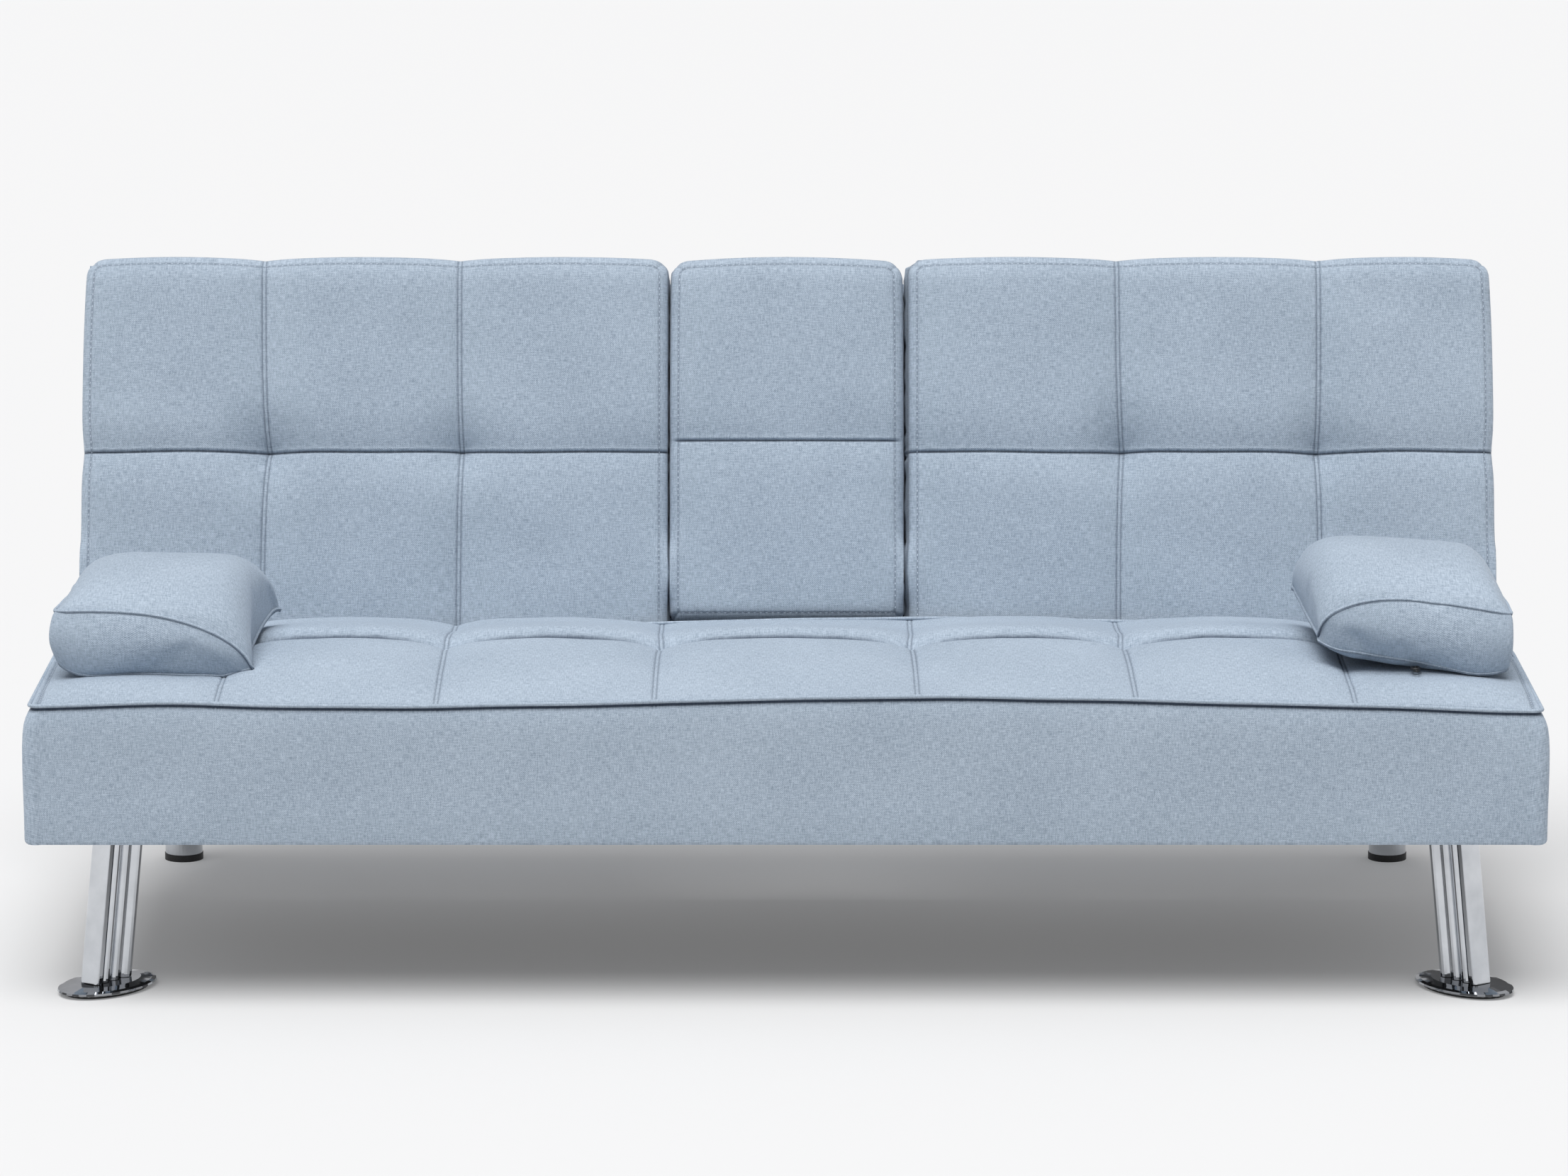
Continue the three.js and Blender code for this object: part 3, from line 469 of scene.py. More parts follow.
class Cushion:
    """A boxed cushion: a panel in (a, b) with its own height, a band round it, and a back or a hem.

    `face` gives height and shade, `warp` shifts points in the panel's plane, and `place` takes
    (a, b, height) to the sofa's frame.
    """

    def __init__(self, a_lines, b_lines, radii, face, place, warp=straight):
        self.a, self.b = np.meshgrid(a_lines, b_lines, indexing="ij")
        self.box = (a_lines[0], a_lines[-1], b_lines[0], b_lines[-1])
        self.radii, self.face, self.place, self.warp = radii, face, place, warp
        self.loop = loop_indices(*self.a.shape)

    def plan(self, a, b):
        return self.warp(*round_corners(a, b, self.box, self.radii))

    def on_face(self, a, b):
        a, b = np.asarray(a, float), np.asarray(b, float)
        return self.place(*self.plan(a, b), self.face(a, b)[0])

    def outline(self):
        """The boundary with its outward normals and the distance run, once round."""
        i, j = np.array(self.loop).T
        a, b = self.plan(self.a[i, j], self.b[i, j])
        along_a, along_b = np.roll(a, -1) - np.roll(a, 1), np.roll(b, -1) - np.roll(b, 1)
        length = np.hypot(along_a, along_b)
        run = np.concatenate([[0], np.cumsum(np.hypot(np.diff(a), np.diff(b)))])
        return a, b, along_b / length, -along_a / length, run

    def build(self, rings, back):
        """rings: each the share of the way to the back, the outward shift, and the painted shade."""
        mesh = Mesh()
        n, m = self.a.shape
        height, dark = self.face(self.a, self.b)
        # the face's painted crease shade goes on the points as their `seam`
        mesh.add(self.place(*self.plan(self.a, self.b), height), dark)
        for i in range(n - 1):
            for j in range(m - 1):
                quad = [(i, j), (i + 1, j), (i + 1, j + 1), (i, j + 1)]
                mesh.face([p * m + q for p, q in quad], [(self.a[p], self.b[p]) for p in quad])
        a, b, na, nb, run = self.outline()
        count = len(self.loop)
        start = np.array([height[p] for p in self.loop])
        end = back(a, b)
        ring, depth = [p * m + q for p, q in self.loop], np.zeros(count)
        run = np.append(run, run[-1] + math.hypot(a[0] - a[-1], b[0] - b[-1]))
        # each ring's painted shade goes on its points as their `seam`
        for share, shift, seam in rings:
            level = start + (end - start) * share
            out = shift(a, b, na, nb)
            first = mesh.add(self.place(a + na * out, b + nb * out, level), np.full(count, seam))
            below, deeper = list(range(first, first + count)), np.abs(level - start) + np.abs(out)
            for k in range(count):
                after = (k + 1) % count
                uvs = [(run[k], depth[k]), (run[k], deeper[k])]
                uvs += [(run[k + 1], deeper[after]), (run[k + 1], depth[after])]
                mesh.face([ring[k], below[k], below[after], ring[after]], uvs)
            ring, depth = below, deeper
        return mesh, ring

    def close_back(self, mesh, ring, back):
        """Closes the cushion behind with a plain panel over the same grid."""
        n, m = self.a.shape
        a, b = self.plan(self.a, self.b)
        grid = self.place(a, b, back(a, b))
        inner = [(i, j) for i in range(1, n - 1) for j in range(1, m - 1)]
        start = mesh.add([grid[p] for p in inner])
        index = {p: start + k for k, p in enumerate(inner)}
        index.update(zip(self.loop, ring))
        for i in range(n - 1):
            for j in range(m - 1):
                quad = [(i, j), (i, j + 1), (i + 1, j + 1), (i + 1, j)]
                mesh.face([index[p] for p in quad], [(self.a[p], self.b[p]) for p in quad])


def tube(mesh, path, radius, under=0.0, sides=8):
    """Adds a round cord along a closed path, its lower half painted with shade as dark as `under`."""
    path = np.asarray(path, float)
    count = len(path)
    ahead = np.roll(path, -1, 0) - np.roll(path, 1, 0)
    ahead /= np.linalg.norm(ahead, axis=1)[:, None]
    side = np.cross(ahead, (0, 0, 1.0))
    weak = np.linalg.norm(side, axis=1) < 0.2
    side[weak] = np.cross(ahead[weak], (1.0, 0, 0))
    side /= np.linalg.norm(side, axis=1)[:, None]
    rise = np.cross(side, ahead)
    turns = np.arange(sides) / sides * 2 * math.pi
    ring = np.cos(turns)[:, None] * side[:, None, :] + np.sin(turns)[:, None] * rise[:, None, :]
    # painted shade on the cord's underside, as if lit from above
    shade = under * np.clip(0.2 - np.sin(turns) * np.sign(rise[:, 2:3] + 1e-9), 0, 1)
    start = mesh.add(path[:, None, :] + radius * ring, shade)
    steps = np.linalg.norm(np.roll(path, -1, 0) - path, axis=1)
    run = np.concatenate([[0], np.cumsum(steps)])
    wide = 2 * math.pi * radius / sides
    for k in range(count):
        after = (k + 1) % count
        for s in range(sides):
            t = (s + 1) % sides
            corners = [k * sides + s, after * sides + s, after * sides + t, k * sides + t]
            near, far = s * wide, (s + 1) * wide
            uvs = [(run[k], near), (run[k + 1], near), (run[k + 1], far), (run[k], far)]
            mesh.face([start + c for c in corners], uvs)


STITCH = 4.4 * MM  # the length of one
STITCH_STEP = 7.0 * MM  # from one to the next
STITCH_HALF_WIDTH = 0.8 * MM
STITCH_HEIGHT = 0.6 * MM


def stitch_row(mesh, path, outward):
    """Adds a row of raised stitches along a path that lies on a surface facing `outward`."""
    path = np.asarray(path, float)
    run = np.concatenate([[0], np.cumsum(np.linalg.norm(np.diff(path, axis=0), axis=1))])
    starts = np.arange(0.5 * STITCH_STEP, run[-1] - STITCH, STITCH_STEP)

    def at(distance):
        return np.stack([np.interp(distance, run, path[:, k]) for k in range(3)], axis=1)

    a, b = at(starts), at(starts + STITCH)
    ahead = (b - a) / np.linalg.norm(b - a, axis=1)[:, None]
    out = np.broadcast_to(np.array(outward, float) / np.linalg.norm(outward), a.shape)
    side = np.cross(ahead, out) * STITCH_HALF_WIDTH
    middle, lift = (a + b) / 2, out * STITCH_HEIGHT
    corners = [a, middle + side, b, middle - side, middle + lift, middle - lift]
    first = mesh.add(np.stack(corners, axis=1))
    for base in range(first, first + 6 * len(a), 6):
        for s in range(4):
            t = (s + 1) % 4
            mesh.face([base + s, base + t, base + 4], [(0, 0)] * 3)
            mesh.face([base + t, base + s, base + 5], [(0, 0)] * 3)


def declare(piece, body, slot, *replaced):
    """Puts a piece on its body, in place of the CAD nodes named, which it hides. Its slot is not used."""
    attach(piece, body)
    if replaced:
        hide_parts(*replaced)


# ---- seat --------------------------------------------------------------------------------------

PIPING_INSET = 8 * MM  # from the widest part of the band to the welt
SEAT_EDGES = [-SEAT_HALF + PIPING_INSET, *SEAT_COLUMN_SEAMS, SEAT_HALF - PIPING_INSET]
SEAT_FRONT = 4 * MM  # the welt's distance behind the band's front
SEAT_REAR_BULGE = 1.5 * MM
SEAT_REAR = SEAT_DEPTH - 3 * MM
SEAT_LEVEL = SEAT_HIGH.z + 7 * MM  # of the crown
WELT_DROP = 22 * MM  # from the CAD's top to where the welt's height is counted from
SEAT_TUFTS = (9 * MM, 4 * MM, 15 * MM, 4 * MM)
SEAT_HOLLOW = (55 * MM, 26 * MM)
SEAT_DROP = 22 * MM  # of the surface from the row seam to the rear
REAR_WELT_DROP = 14 * MM
SEAT_STITCHES = 9 * MM  # from the welt
SEAT_HEM = 35 * MM  # how far the cover reaches in underneath
WELT_RADIUS = 2.3 * MM


def welt_height(x, s):
    """The seam round the top stands highest a little right of the middle, and sinks to the rear."""
    rise = 12 * MM * bell(x - 0.16, 0.38) + 5 * MM * bell(x + 0.68, 0.11)
    rise = rise - 5 * MM * bell(x - 0.84, 0.14) + 0.4 * MM * ripple(x, 11, (0.17, 0.23))
    rise = rise - REAR_WELT_DROP * step(s, 300 * MM, 490 * MM)
    return SEAT_HIGH.z - WELT_DROP + rise


def pressed(x, s):
    """Where the arm pillows weigh on the seat."""
    across = step(np.abs(x), 590 * MM, 680 * MM) * (1 - 0.5 * step(np.abs(x), 800 * MM, 830 * MM))
    return across * step(s, 60 * MM, 125 * MM) * (1 - step(s, 380 * MM, 440 * MM))


def seat_face(x, s):
    broad, fine, dark = tufts(x, s, SEAT_EDGES, SEAT_ROW_SEAM, SEAT_TUFTS, 21, SEAT_HOLLOW)
    side = SEAT_EDGES[-1] - np.abs(x)
    front = np.sin(np.clip((s - SEAT_FRONT) / (200 * MM), 0, 1) * math.pi / 2)
    crown = front * ease(side, 60 * MM) * ease(SEAT_REAR - s, 55 * MM)
    fall = SEAT_DROP - 3 * MM + 7 * MM * bell(x, 145 * MM)
    level = SEAT_LEVEL - fall * step(s, 310 * MM, 480 * MM) - 13 * MM * pressed(x, s)
    welt = welt_height(x, s)
    edge = np.minimum(side, s - SEAT_FRONT)
    # painted shade in the top-stitched groove in from the welt
    line = bell(edge - SEAT_STITCHES, 2.2 * MM)
    groove, shade = -1.6 * MM * line + 1.4 * MM * bell(edge - 4 * MM, 3 * MM), 0.5 * line
    # painted shade on the rear wall of the row seam's hollow, between the column seams, where its shadow would
    # show
    middle = 1 - bell(nearest(x, SEAT_COLUMN_SEAMS), 50 * MM)
    shade = np.maximum(shade, 0.9 * middle * bell(s - SEAT_ROW_SEAM - 4.5 * MM, 3.2 * MM))
    height = welt + (level + broad - welt) * crown + fine * (0.35 + 0.65 * crown) + groove
    return height, np.maximum(dark, shade)


SEAT_BOWS = [5 * MM, -3 * MM, 4 * MM, -5 * MM, -4 * MM, 3 * MM]


def seat_warp(x, s):
    """Each column seam is drawn a little sideways where the row seam crosses it."""
    near = np.exp(-np.abs(s - SEAT_ROW_SEAM) / (45 * MM))
    shift = sum(bow * bell(x - seam, 60 * MM) for seam, bow in zip(SEAT_COLUMN_SEAMS, SEAT_BOWS))
    return x + shift * near, s + 1.2 * MM * near * ripple(x, 23, (0.19, 0.33))


def seat_place(x, s, z):
    return np.stack([x, SEAT_LOW.y + s, z], axis=-1)


def seat_fullness(amount, more=0.0):
    """How far the band stands out from the welt, at `amount` of its full bulge."""

    def shift(x, s, nx, ns):
        bulge = np.abs(nx) * PIPING_INSET + np.clip(-ns, 0, 1) * SEAT_FRONT
        bulge = bulge + np.clip(ns, 0, 1) * SEAT_REAR_BULGE
        return amount * bulge * (1 + 0.10 * ripple(x + s, 31, (0.41, 0.27, 0.63))) + more

    return shift


def seat_rings(curl):
    """The band from its seam under the welt, out, down, and curled under to the hem."""
    tucked = seat_fullness(0, -1.2 * MM)
    # painted shade on the first rings, the band just tucked under the welt
    rings = [(0.010, tucked, 1.0), (0.022, tucked, 1.0), (0.030, seat_fullness(0, -0.2 * MM), 0.25)]
    bulges = [(0.045, 0.25), (0.08, 0.55), (0.13, 0.82), (0.2, 0.98)]
    bulges += [(0.3, 1.08), (0.45, 1.1), (0.6, 1.07), (0.75, 1.02)]
    rings += [(share, seat_fullness(amount), 0.0) for share, amount in bulges]
    drop = SEAT_HIGH.z - SEAT_LOW.z - WELT_DROP
    for degrees in (0, 22, 45, 67, 90):
        turn = math.radians(degrees)
        share = 1 - curl * (1 - math.sin(turn)) / drop
        rings.append((share, seat_fullness(1, -curl * (1 - math.cos(turn))), 0.0))
    return rings + [(1.0, seat_fullness(1, -SEAT_HEM), 0.0)]


def make_seat(fabric, thread):
    insets = (SEAT_EDGES[0] + SEAT_STITCHES, SEAT_EDGES[-1] - SEAT_STITCHES)
    a_lines = grid_lines(SEAT_EDGES[0], SEAT_EDGES[-1], SEAT_COLUMN_SEAMS, insets)
    b_lines = grid_lines(SEAT_FRONT, SEAT_REAR, [SEAT_ROW_SEAM], [SEAT_FRONT + SEAT_STITCHES])
    radii = [10 * MM, 10 * MM, 6 * MM, 6 * MM]
    seat = Cushion(a_lines, b_lines, radii, seat_face, seat_place, seat_warp)
    bottom = SEAT_LOW.z - 0.4 * MM
    mesh, _ = seat.build(seat_rings(5 * MM), lambda x, s: np.full_like(x, bottom))
    piece = mesh.make("seat_upholstery", fabric)
    declare(piece, "seat", "upholstery", "seat_cover", "seat_foam")

    welt = Mesh()
    x, s, nx, ns, _ = seat.outline()
    path = seat_place(x + nx * 0.4 * MM, s + ns * 0.4 * MM, welt_height(x, s) + 1.5 * MM)
    # painted shade under the welt
    tube(welt, path, WELT_RADIUS, 0.25)
    declare(welt.make("seat_welt", fabric), "seat", "upholstery")

    rows = Mesh()
    front, rear = SEAT_FRONT + SEAT_STITCHES, SEAT_REAR - SEAT_STITCHES
    xs, ss = np.linspace(*insets, 900), np.linspace(front, rear, 300)
    stitch_row(rows, seat.on_face(xs, np.full_like(xs, front)), (0, 0, 1))
    for x in insets:
        stitch_row(rows, seat.on_face(np.full_like(ss, x), ss), (0, 0, 1))
    declare(rows.make("seat_stitches", thread), "seat", "upholstery")


# ---- backrest pads and console cushion ---------------------------------------------------------

BACK_LEVEL = 61 * MM
BACK_TUFTS = (4 * MM, 4.5 * MM, 8 * MM, 15 * MM)
BACK_STITCHES = 10 * MM  # from the edges
BRACKET = 72 * MM  # where the console's hinge is, along the backrest
BACK_OUT = (0, -math.cos(LEAN), math.sin(LEAN))


def back_place(x, along, out):
    """A point of the upright backrest: across, up along it, and out of its front."""
    sin, cos = math.sin(LEAN), math.cos(LEAN)
    y, z = HINGE.y - out * cos + along * sin, HINGE.z + out * sin + along * cos
    return np.stack([x, y, z], axis=-1)


def firm(side, b):
    """How far a pad's edge stays full, over the hinge bracket beside the console."""
    return (1 - step(side, 8 * MM, 32 * MM)) * (1 - step(np.abs(b - BRACKET), 17 * MM, 44 * MM))


def rolled(distance):
    """How a back cushion thins towards its top edge."""
    return 1 - 0.34 * (1 - ease(distance, 32 * MM))


def pad_face(edges, seed):
    def face(a, b):
        broad, fine, dark = tufts(a, b, edges, BACK_ROW_SEAM, BACK_TUFTS, seed)
        side = np.minimum(a - edges[0], edges[-1] - a)
        keep = ease(b + BACK_HALF_THICK, BACK_HALF_THICK)
        full = firm(side, b)
        broad = broad * (1 - full)
        sides = 1 - 0.20 * (1 - full) * (1 - ease(side, 17 * MM))
        shape = keep * sides * rolled(BACK_TOP - b)
        groove, shade = stitched_groove(np.minimum(side, BACK_TOP - b), BACK_STITCHES)
        return BACK_LEVEL * shape + (broad + fine) * keep + groove, np.maximum(dark, shade)

    return face


def pad_warp(edges, bows):
    """Draws the column seams aside at the row seam, and the outline in where it is sewn."""

    def warp(a, b):
        near = np.exp(-np.abs(b - BACK_ROW_SEAM) / (60 * MM))
        shift = sum(bow * bell(a - seam, 70 * MM) for seam, bow in zip(edges[1:-1], bows)) * near
        high = np.clip((b - BACK_ROW_SEAM) / (BACK_TOP - BACK_ROW_SEAM), 0, 1)
        outer = np.sign(a) * step(np.abs(a), BACK_OUTER_SEAM, PAD_OUTER)
        shift = shift - outer * (5 * MM * high**3 + 2 * MM * bell(b - BACK_ROW_SEAM, 22 * MM))
        scallop = 4 * MM * (1 - swell(a, edges)) * high**4
        return a + shift, b - scallop + 1.0 * MM * near * ripple(a, 37, (0.16, 0.29))

    return warp


def back_of_pad(a, b):
    half = np.sqrt(np.clip(BACK_HALF_THICK**2 - np.clip(-b, 0, BACK_HALF_THICK) ** 2, 0, None))
    return -np.minimum(half, 55.6 * MM) * (0.55 + 0.45 * ease(BACK_TOP - b, 20 * MM))


def puffed(amount, gathers=0.0, flare=0.0, side=1):
    """A bulge of the band, with small gathers. A flare is more of both beside the console.

    side is -1 for the left pad, 1 for the right one and 0 for the console.
    """

    def shift(a, b, na, nb):
        inner = np.clip(-side * na, 0, 1)
        cover = 3.5 * MM * bell(b - BRACKET, 22 * MM) * inner * (side != 0)
        soft = amount * (1 + 0.15 * ripple(a + b, 41, (0.09, 0.14))) + flare * inner + cover
        pleats = (gathers + 0.25 * flare * inner) * ripple(a + b, 43, (0.011, 0.017, 0.026))
        return np.clip(1 + nb, 0, 1) * (soft + pleats)

    return shift


# Rows of a band: share of the way back, bulge and gathers in mm, share of the flare, painted shade.
PAD_BAND = [
    (0.03, -1.0, 0.2, 0.2, 0.6),
    (0.08, 0.3, 0.5, 0.7, 0.15),
    (0.2, 1.0, 0.6, 1, 0),
    (0.4, 1.2, 0.3, 1, 0),
    (0.6, 1.4, 0, 1, 0),
    (0.8, 1.2, 0, 0.9, 0),
    (0.93, 0.5, 0, 0.6, 0),
    (1.0, 0, 0, 0.5, 0),
]
CONSOLE_BAND = [
    (0.06, -0.6, 0.2, 0, 0.6),
    (0.15, 0.2, 0.4, 0, 0.15),
    (0.35, 0.9, 0.4, 0, 0),
    (0.65, 1.1, 0, 0, 0),
    (1.0, 0, 0, 0, 0),
]


def back_rings(band, flare=0.0, side=0):
    return [
        (share, puffed(out * MM, fine * MM, more * flare, side), shade)
        for share, out, fine, more, shade in band
    ]


def edge_stitches(rows, cushion, box, sides):
    """Top-stitching just inside the edges that are named: left, right, top or bottom."""
    a0, a1, b0, b1 = box
    a0, a1, b0, b1 = a0 + BACK_STITCHES, a1 - BACK_STITCHES, b0 + BACK_STITCHES, b1 - BACK_STITCHES
    a, b = np.linspace(a0, a1, 400), np.linspace(b0, b1, 300)
    lines = {
        "left": (np.full_like(b, a0), b),
        "right": (np.full_like(b, a1), b),
        "top": (a, np.full_like(a, b1)),
        "bottom": (a, np.full_like(a, b0)),
    }
    for side in sides:
        stitch_row(rows, cushion.on_face(*lines[side]), BACK_OUT)


def make_back_cushion(name, body, cushion, back, rings, fabric, thread, replaced, stitched):
    mesh, ring = cushion.build(rings, back)
    cushion.close_back(mesh, ring, back)
    piece = mesh.make(name, fabric)
    declare(piece, body, "upholstery", *replaced)
    rows = Mesh()
    box = (*cushion.box[:2], max(cushion.box[2], -10 * MM), cushion.box[3])
    edge_stitches(rows, cushion, box, stitched)
    declare(rows.make(f"{name}_stitches", thread), body, "upholstery")


def make_pad(end, side, edges, bows, flare, fabric, thread):
    insets = (edges[0] + BACK_STITCHES, edges[-1] - BACK_STITCHES)
    a_lines = grid_lines(edges[0], edges[-1], edges[1:-1], insets)
    b_lines = grid_lines(-BACK_HALF_THICK, BACK_TOP, [BACK_ROW_SEAM], [BACK_TOP - BACK_STITCHES])
    face, warp = pad_face(edges, 50 + side), pad_warp(edges, bows)
    pad = Cushion(a_lines, b_lines, [0, 0, 20 * MM, 20 * MM], face, back_place, warp)
    replaced = (f"back_cover_{end}", f"back_foam_{end}")
    rings, stitched = back_rings(PAD_BAND, flare, side), ("left", "right", "top")
    name, cloth = f"back_pad_{end}", (fabric, thread)
    make_back_cushion(name, "backrest", pad, back_of_pad, rings, *cloth, replaced, stitched)


CONSOLE_TUFTS = (2.5 * MM, 0.0, 6 * MM, 0.0)
CONSOLE_DOME = 6 * MM
CONSOLE_HEEL = 70 * MM  # below this its back is cut away, to clear the frame as it swings
HEEL_CUT = 18 * MM


def console_face(a, b):
    edges = [-CONSOLE_HALF, CONSOLE_HALF]
    broad, fine, dark = tufts(a, b, edges, CONSOLE_ROW_SEAM, CONSOLE_TUFTS, 61)
    side = CONSOLE_HALF - np.abs(a)
    ends = step(side, 2 * MM, 12 * MM)  # the row seam fades out at the side stitching
    full = firm(side, b)
    broad = broad * (1 - full)
    sides = 1 - 0.24 * (1 - full) * (1 - ease(side, 18 * MM))
    shape = sides * rolled(CONSOLE_TOP - b) * (1 - 0.30 * (1 - ease(b - CONSOLE_BOTTOM, 20 * MM)))
    edge = np.minimum(side, np.minimum(CONSOLE_TOP - b, b - CONSOLE_BOTTOM))
    groove, shade = stitched_groove(edge, BACK_STITCHES)
    return BACK_LEVEL * shape + broad + fine * ends + groove, np.maximum(dark * ends, shade)


def console_warp(a, b):
    high = np.clip((b - CONSOLE_ROW_SEAM) / (CONSOLE_TOP - CONSOLE_ROW_SEAM), 0, 1)
    dome = CONSOLE_DOME * (1 - (a / CONSOLE_HALF) ** 2) * high**2
    return a * (1 - 0.012 * high**3), b + dome


def back_of_console(a, b):
    below = np.clip((CONSOLE_HEEL - b) / (CONSOLE_HEEL - CONSOLE_BOTTOM), 0, 1)
    return CONSOLE_REAR + HEEL_CUT * below


def console_place(x, along, out):
    """The console stands a little right of the middle."""
    return back_place(x + CONSOLE_SHIFT, along, out)


def make_console(fabric, thread):
    insets = (-CONSOLE_HALF + BACK_STITCHES, CONSOLE_HALF - BACK_STITCHES)
    ends = (CONSOLE_BOTTOM + BACK_STITCHES, CONSOLE_TOP - BACK_STITCHES)
    a_lines = grid_lines(-CONSOLE_HALF, CONSOLE_HALF, [], insets)
    b_lines = grid_lines(CONSOLE_BOTTOM, CONSOLE_TOP, [CONSOLE_ROW_SEAM], ends)
    radii = [14 * MM, 14 * MM, 20 * MM, 20 * MM]
    cushion = Cushion(a_lines, b_lines, radii, console_face, console_place, console_warp)
    replaced = ("console_cover", "console_foam")
    rings, stitched = back_rings(CONSOLE_BAND), ("left", "right", "top", "bottom")
    name, cloth = "console_cushion", (fabric, thread)
    make_back_cushion(name, "console", cushion, back_of_console, rings, *cloth, replaced, stitched)


# ---- loose pillows -----------------------------------------------------------------------------

PILLOW_CELLS = (28, 30, 8)
PILLOW_FRONT = 120 * MM
PILLOW_LENGTH = 284 * MM
PILLOW_BASE = SEAT_HIGH.z - 14 * MM  # the seat gives way under its front edge
PILLOW_CLEARANCE = 0.8 * MM  # between its underside and the seat
PILLOW_GIVE = 6 * MM  # the most that the cloth simulation moves a point

# How each pillow lies. In mm: where its outer edge is (outer) and how wide it is (reach), its
# gusset's height (gusset) and how much that grows inwards, its full height (full) and how much of
# that is lost inwards (fall), the bulge of its outer side (belly), how far its lower outer corner,
# inner end (lift), inner tip, rear edge and inner rear corner (rear_tip) rise, how far its inner
# end is set back in front (skew), and how much narrower its middle is (waist). As plain numbers:
# how blunt its inner end is, and by what share of its width its top reaches full height (ramp).
PILLOW_SHAPES = {
    "left": {
        "outer": 813, "reach": 219, "gusset": 78, "grow": 0, "blunt": 2.6, "full": 105, "fall": 0,
        "belly": 6, "corner": 20, "lift": -2, "tip": 0, "rear": 12, "rear_tip": 16,
        "skew": 0, "waist": 10, "ramp": 0.3,
    },
    "right": {
        "outer": 806, "reach": 213, "gusset": 74, "grow": 4, "blunt": 3.8, "full": 117, "fall": 16,
        "belly": 1, "corner": 12, "lift": 27, "tip": 12, "rear": 4, "rear_tip": 6,
        "skew": 22, "waist": -2, "ramp": 0.16,
    },
}


def pillow_point(side, shape, t, d, h):
    """t runs from the outer edge to the inner, d from front to back, h from bottom to top."""
    seam = (shape["gusset"] + shape["grow"] * t - 10 * d) * (1 - t ** shape["blunt"]) ** 0.54
    full = (shape["full"] - shape["fall"] * t) * (1 - t**12) ** 0.5
    crown = (4 * d * (1 - d)) ** 0.5 * (1 - (1 - min(1, t / shape["ramp"])) ** 2) ** 0.6
    top = seam + max(full - seam, 0) * crown
    belly = math.sin(math.pi * h) * (1 - t**4)
    rise = shape["lift"] * t + shape["tip"] * t**12 + shape["rear_tip"] * t**5 * d
    under = shape["corner"] * max(0, 1 - t / 0.22) ** 2 + shape["rear"] * d
    waist = shape["waist"] * (4 * d * (1 - d)) * t**3
    across = shape["outer"] - 7 * d - t * (shape["reach"] + 4 * d) + waist
    across = across + shape["belly"] * belly * (1 - t) ** 6
    along = shape["skew"] * t * (1 - d) - 9 * belly * (1 - d) ** 9 + 6 * belly * d**9
    y = SEAT_LOW.y + PILLOW_FRONT + d * PILLOW_LENGTH + along * MM
    return (side * across * MM, y, PILLOW_BASE + (under * (1 - h) + rise + h * top) * MM)


def pillow_shell(end, side, fabric):
    """The closed cover: top, bottom and a gusset on three sides; the fourth is a plain seam."""
    nx, ny, nz = PILLOW_CELLS
    across = [1 - (1 - i / nx) ** 1.5 for i in range(nx + 1)]
    along = [0.5 - 0.5 * math.cos(math.pi * (0.12 + 0.76 * j / ny)) for j in range(ny + 1)]
    along = [(v - along[0]) / (along[-1] - along[0]) for v in along]
    shape, index, points = PILLOW_SHAPES[end], {}, []
    for i in range(nx + 1):
        for j in range(ny + 1):
            for k in range(nz + 1):
                if i == nx and k:
                    index[i, j, k] = index[i, j, 0]
                elif i in (0, nx) or j in (0, ny) or k in (0, nz):
                    index[i, j, k] = len(points)
                    points.append(pillow_point(side, shape, across[i], along[j], k / nz))
    mesh = Mesh()
    mesh.add(points)

    def run(keys):
        path = np.array([points[index[k]] for k in keys])
        return np.concatenate([[0], np.cumsum(np.linalg.norm(np.diff(path, axis=0), axis=1))])

    us = run([(i, ny // 2, nz) for i in range(nx + 1)])
    vs = run([(nx // 2, j, nz) for j in range(ny + 1)])
    ws = run([(2, 0, k) for k in range(nz + 1)])

    def patch(ps, qs, key):
        for p in range(len(ps) - 1):
            for q in range(len(qs) - 1):
                corners, uvs = [], []
                for c in [(p, q), (p + 1, q), (p + 1, q + 1), (p, q + 1)]:
                    if index[key(*c)] not in corners:
                        corners.append(index[key(*c)])
                        uvs.append((ps[c[0]], qs[c[1]]))
                if len(corners) > 2:
                    mesh.face(corners[::side], uvs[::side])

    patch(us, vs, lambda p, q: (nx - p, q, nz))
    patch(us, vs, lambda p, q: (p, q, 0))
    patch(us, ws, lambda p, q: (nx - p, 0, q))
    patch(us, ws, lambda p, q: (p, ny, q))
    patch(vs, ws, lambda p, q: (0, p, q))
    return mesh.make(f"pillow_cushion_{end}", fabric), index


def inflate(piece, most):
    """Lets cloth under pressure fill the piece out. No point ends further off than `most`."""
    frames = 20
    before = np.array([v.co[:] for v in piece.data.vertices])
    cloth = piece.modifiers.new("cloth", "CLOTH")
    settings = cloth.settings
    settings.quality = 6
    settings.mass = 0.3
    settings.tension_stiffness, settings.compression_stiffness, settings.shear_stiffness = 18, 14, 6
    settings.bending_stiffness = 0.5
    settings.use_pressure = True
    settings.uniform_pressure_force = 4
    settings.shrink_min = -0.025
    settings.effector_weights.gravity = 0
    cloth.collision_settings.use_collision = False
    scene = bpy.context.scene
    cloth.point_cache.frame_start, cloth.point_cache.frame_end = 1, frames
    for number in range(1, frames + 1):
        scene.frame_set(number)
    shown = piece.evaluated_get(bpy.context.evaluated_depsgraph_get()).to_mesh()
    after = np.array([v.co[:] for v in shown.vertices])
    piece.modifiers.remove(cloth)
    scene.frame_set(1)
    move = after - before
    size = np.linalg.norm(move, axis=1)
    print("inflated", piece.name, round(size.mean(), 4), round(size.max(), 4))
    move *= (np.minimum(size, most) / np.maximum(size, 1e-9))[:, None]
    piece.data.vertices.foreach_set("co", (before + move).ravel())
    piece.data.update()


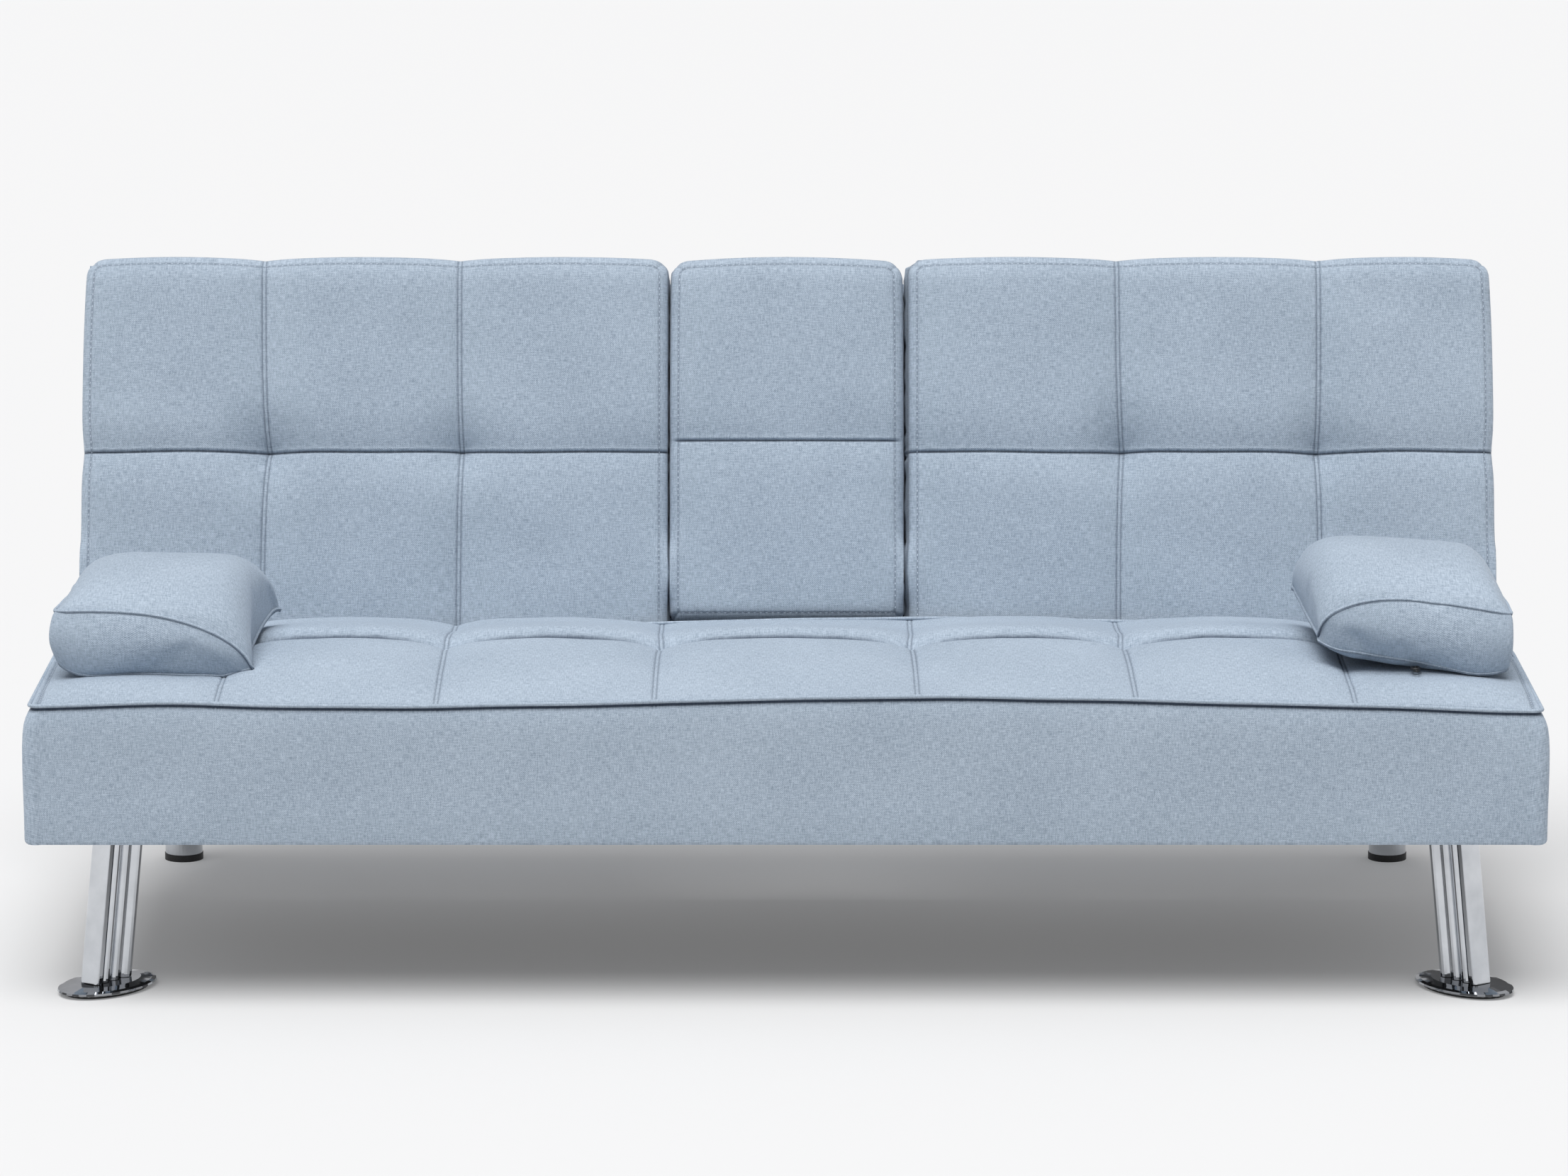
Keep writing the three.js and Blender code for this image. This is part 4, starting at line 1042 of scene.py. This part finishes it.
def rest_on_seat(piece):
    """Keeps the underside just above the seat's own surface."""
    for vertex in piece.data.vertices:
        x, s = vertex.co.x, vertex.co.y - SEAT_LOW.y
        floor = float(seat_face(np.array([x]), np.array([s]))[0][0]) + PILLOW_CLEARANCE
        if abs(x) < SEAT_EDGES[-1] and vertex.co.z < floor:
            vertex.co.z = floor


def smooth_loop(path, times=2):
    """Evens out a closed path."""
    for _ in range(times):
        path = (np.roll(path, 1, 0) + 2 * path + np.roll(path, -1, 0)) / 4
    return path


def make_pillow(end, side, fabric):
    piece, index = pillow_shell(end, side, fabric)
    inflate(piece, PILLOW_GIVE)
    rest_on_seat(piece)
    nx, ny, nz = PILLOW_CELLS
    welt = Mesh()
    for level, radius in ((nz, 1.9 * MM), (0, 1.3 * MM)):
        ring = [(i, 0, level) for i in range(nx)] + [(nx, j, level) for j in range(ny)]
        ring += [(i, ny, level) for i in range(nx, 0, -1)]
        ring += [(0, j, level) for j in range(ny, 0, -1)]
        path = smooth_loop(np.array([piece.data.vertices[index[p]].co[:] for p in ring]))
        # painted shade on the welt's underside
        tube(welt, path, radius, 0.9)
        # a thinner cord just under the welt, its lower half painted dark as the crease's shadow
        tube(welt, path - np.array([0, 0, 0.9 * radius]), 0.7 * radius, 1.0)
    modifier = piece.modifiers.new("subdivision", "SUBSURF")
    modifier.levels = modifier.render_levels = 2
    body = f"pillow_{end}"
    declare(piece, body, "upholstery", body)
    declare(welt.make(f"pillow_welt_{end}", fabric), body, "upholstery")


def make_zip_pull(plastic):
    """The small pull of the right pillow's zip, hanging under its front edge."""
    mesh = Mesh()
    centre = np.array([0.703, SEAT_LOW.y + PILLOW_FRONT + 6 * MM, PILLOW_BASE + 10 * MM])
    turns = np.linspace(0, 2 * math.pi, 25)[:-1]
    sin, cos = np.sin(turns), np.cos(turns)
    ring = np.stack([3.2 * MM * sin, -7 * MM * (1 - cos), -1.5 * MM * cos], axis=1)
    tube(mesh, centre + ring, 1.0 * MM)
    body = np.stack([4.2 * MM * cos, 5.5 * MM * sin, 0 * turns], axis=1)
    tube(mesh, centre + body + np.array([0, 4 * MM, 1 * MM]), 2.0 * MM)
    declare(mesh.make("pillow_zip_pull", plastic), "pillow_right", "black_plastic")


# ---- everything together -----------------------------------------------------------------------

bpy.context.scene.view_settings.view_transform = "Standard"
add_camera()
add_world()
add_floor()
add_sun("key", -20, 69, 3.0, 46)

fabric = linen()
thread = thread_material()
make_seat(fabric, thread)
make_pad("left", -1, LEFT_PAD, (7 * MM, 3 * MM), 0.0, fabric, thread)
make_pad("right", 1, RIGHT_PAD, (6 * MM, -3 * MM), 3.5 * MM, fabric, thread)
make_console(fabric, thread)
make_pillow("left", -1, fabric)
make_pillow("right", 1, fabric)

chrome = mottled("chrome", (0.50, 0.52, 0.55), (0.64, 0.66, 0.69), (14, 14, 14), 0.07, 0.05, 1.0)
steel_dark, steel_light = (0.014, 0.015, 0.016), (0.024, 0.025, 0.027)
powder = mottled("powder_coat", steel_dark, steel_light, (700,) * 3, 0.45, 0.1, 0.0, 0.00015)
zinc = mottled("zinc", (0.38, 0.39, 0.40), (0.55, 0.56, 0.57), (60, 60, 60), 0.35, 0.2, 1.0)
black, tray_light = (0.010, 0.010, 0.011), (0.020, 0.020, 0.021)
plastic = mottled("moulded_plastic", black, tray_light, (900,) * 3, 0.5, 0.15, 0.0, 0.0001)
pine = mottled("pine", (0.42, 0.25, 0.11), (0.66, 0.45, 0.23), (3, 60, 60), 0.65, 0.1, 0.0, 0.0002)
veneer_dark, veneer_light = (0.36, 0.21, 0.10), (0.52, 0.33, 0.16)
ply = mottled("plywood", veneer_dark, veneer_light, (6, 40, 90), 0.65, 0.1, 0.0, 0.0002)
cambric = mottled("dust_cover", black, (0.022, 0.022, 0.024), (500,) * 3, 0.95, 0.0, 0.0, 0.0002)
blue_dark, blue_light = (0.25, 0.315, 0.40), (0.42, 0.505, 0.61)
rear_cloth = mottled("rear_cloth", blue_dark, blue_light, (420,) * 3, 0.92, 0.0, 0.0, 0.0004)
make_zip_pull(plastic)
FINISHES = {
    "chrome": chrome,
    "black_steel": powder,
    "spring_steel": zinc,
    "black_plastic": plastic,
    "timber": pine,
    "plywood": ply,
    "lining": cambric,
    "upholstery": rear_cloth,
    "foam": rear_cloth,
}
# Timber and plywood whose edges would show, as if the cover or the lining wrapped round them.
# the black lining on the inner stiles and lower rail is partly painted shade: it keeps the gaps beside the console
# dark
WRAPPED = {f"back_inner_stile_{end}": cambric for end in ("left", "right")}
WRAPPED["back_lower_rail"] = cambric
for name in ("back_top_rail", "back_outer_stile", "seat_side_rail"):
    WRAPPED.update({f"{name}_{end}": rear_cloth for end in ("left", "right")})
for name in ("seat_front_rail", "seat_rear_rail", "console_board"):
    WRAPPED[name] = rear_cloth
for entry in frame["record"]["subparts"]:
    node = frame["nodes"][entry["node"]]
    node.data.materials.clear()
    node.data.materials.append(WRAPPED.get(entry["node"], FINISHES[entry["material_slot"]]))
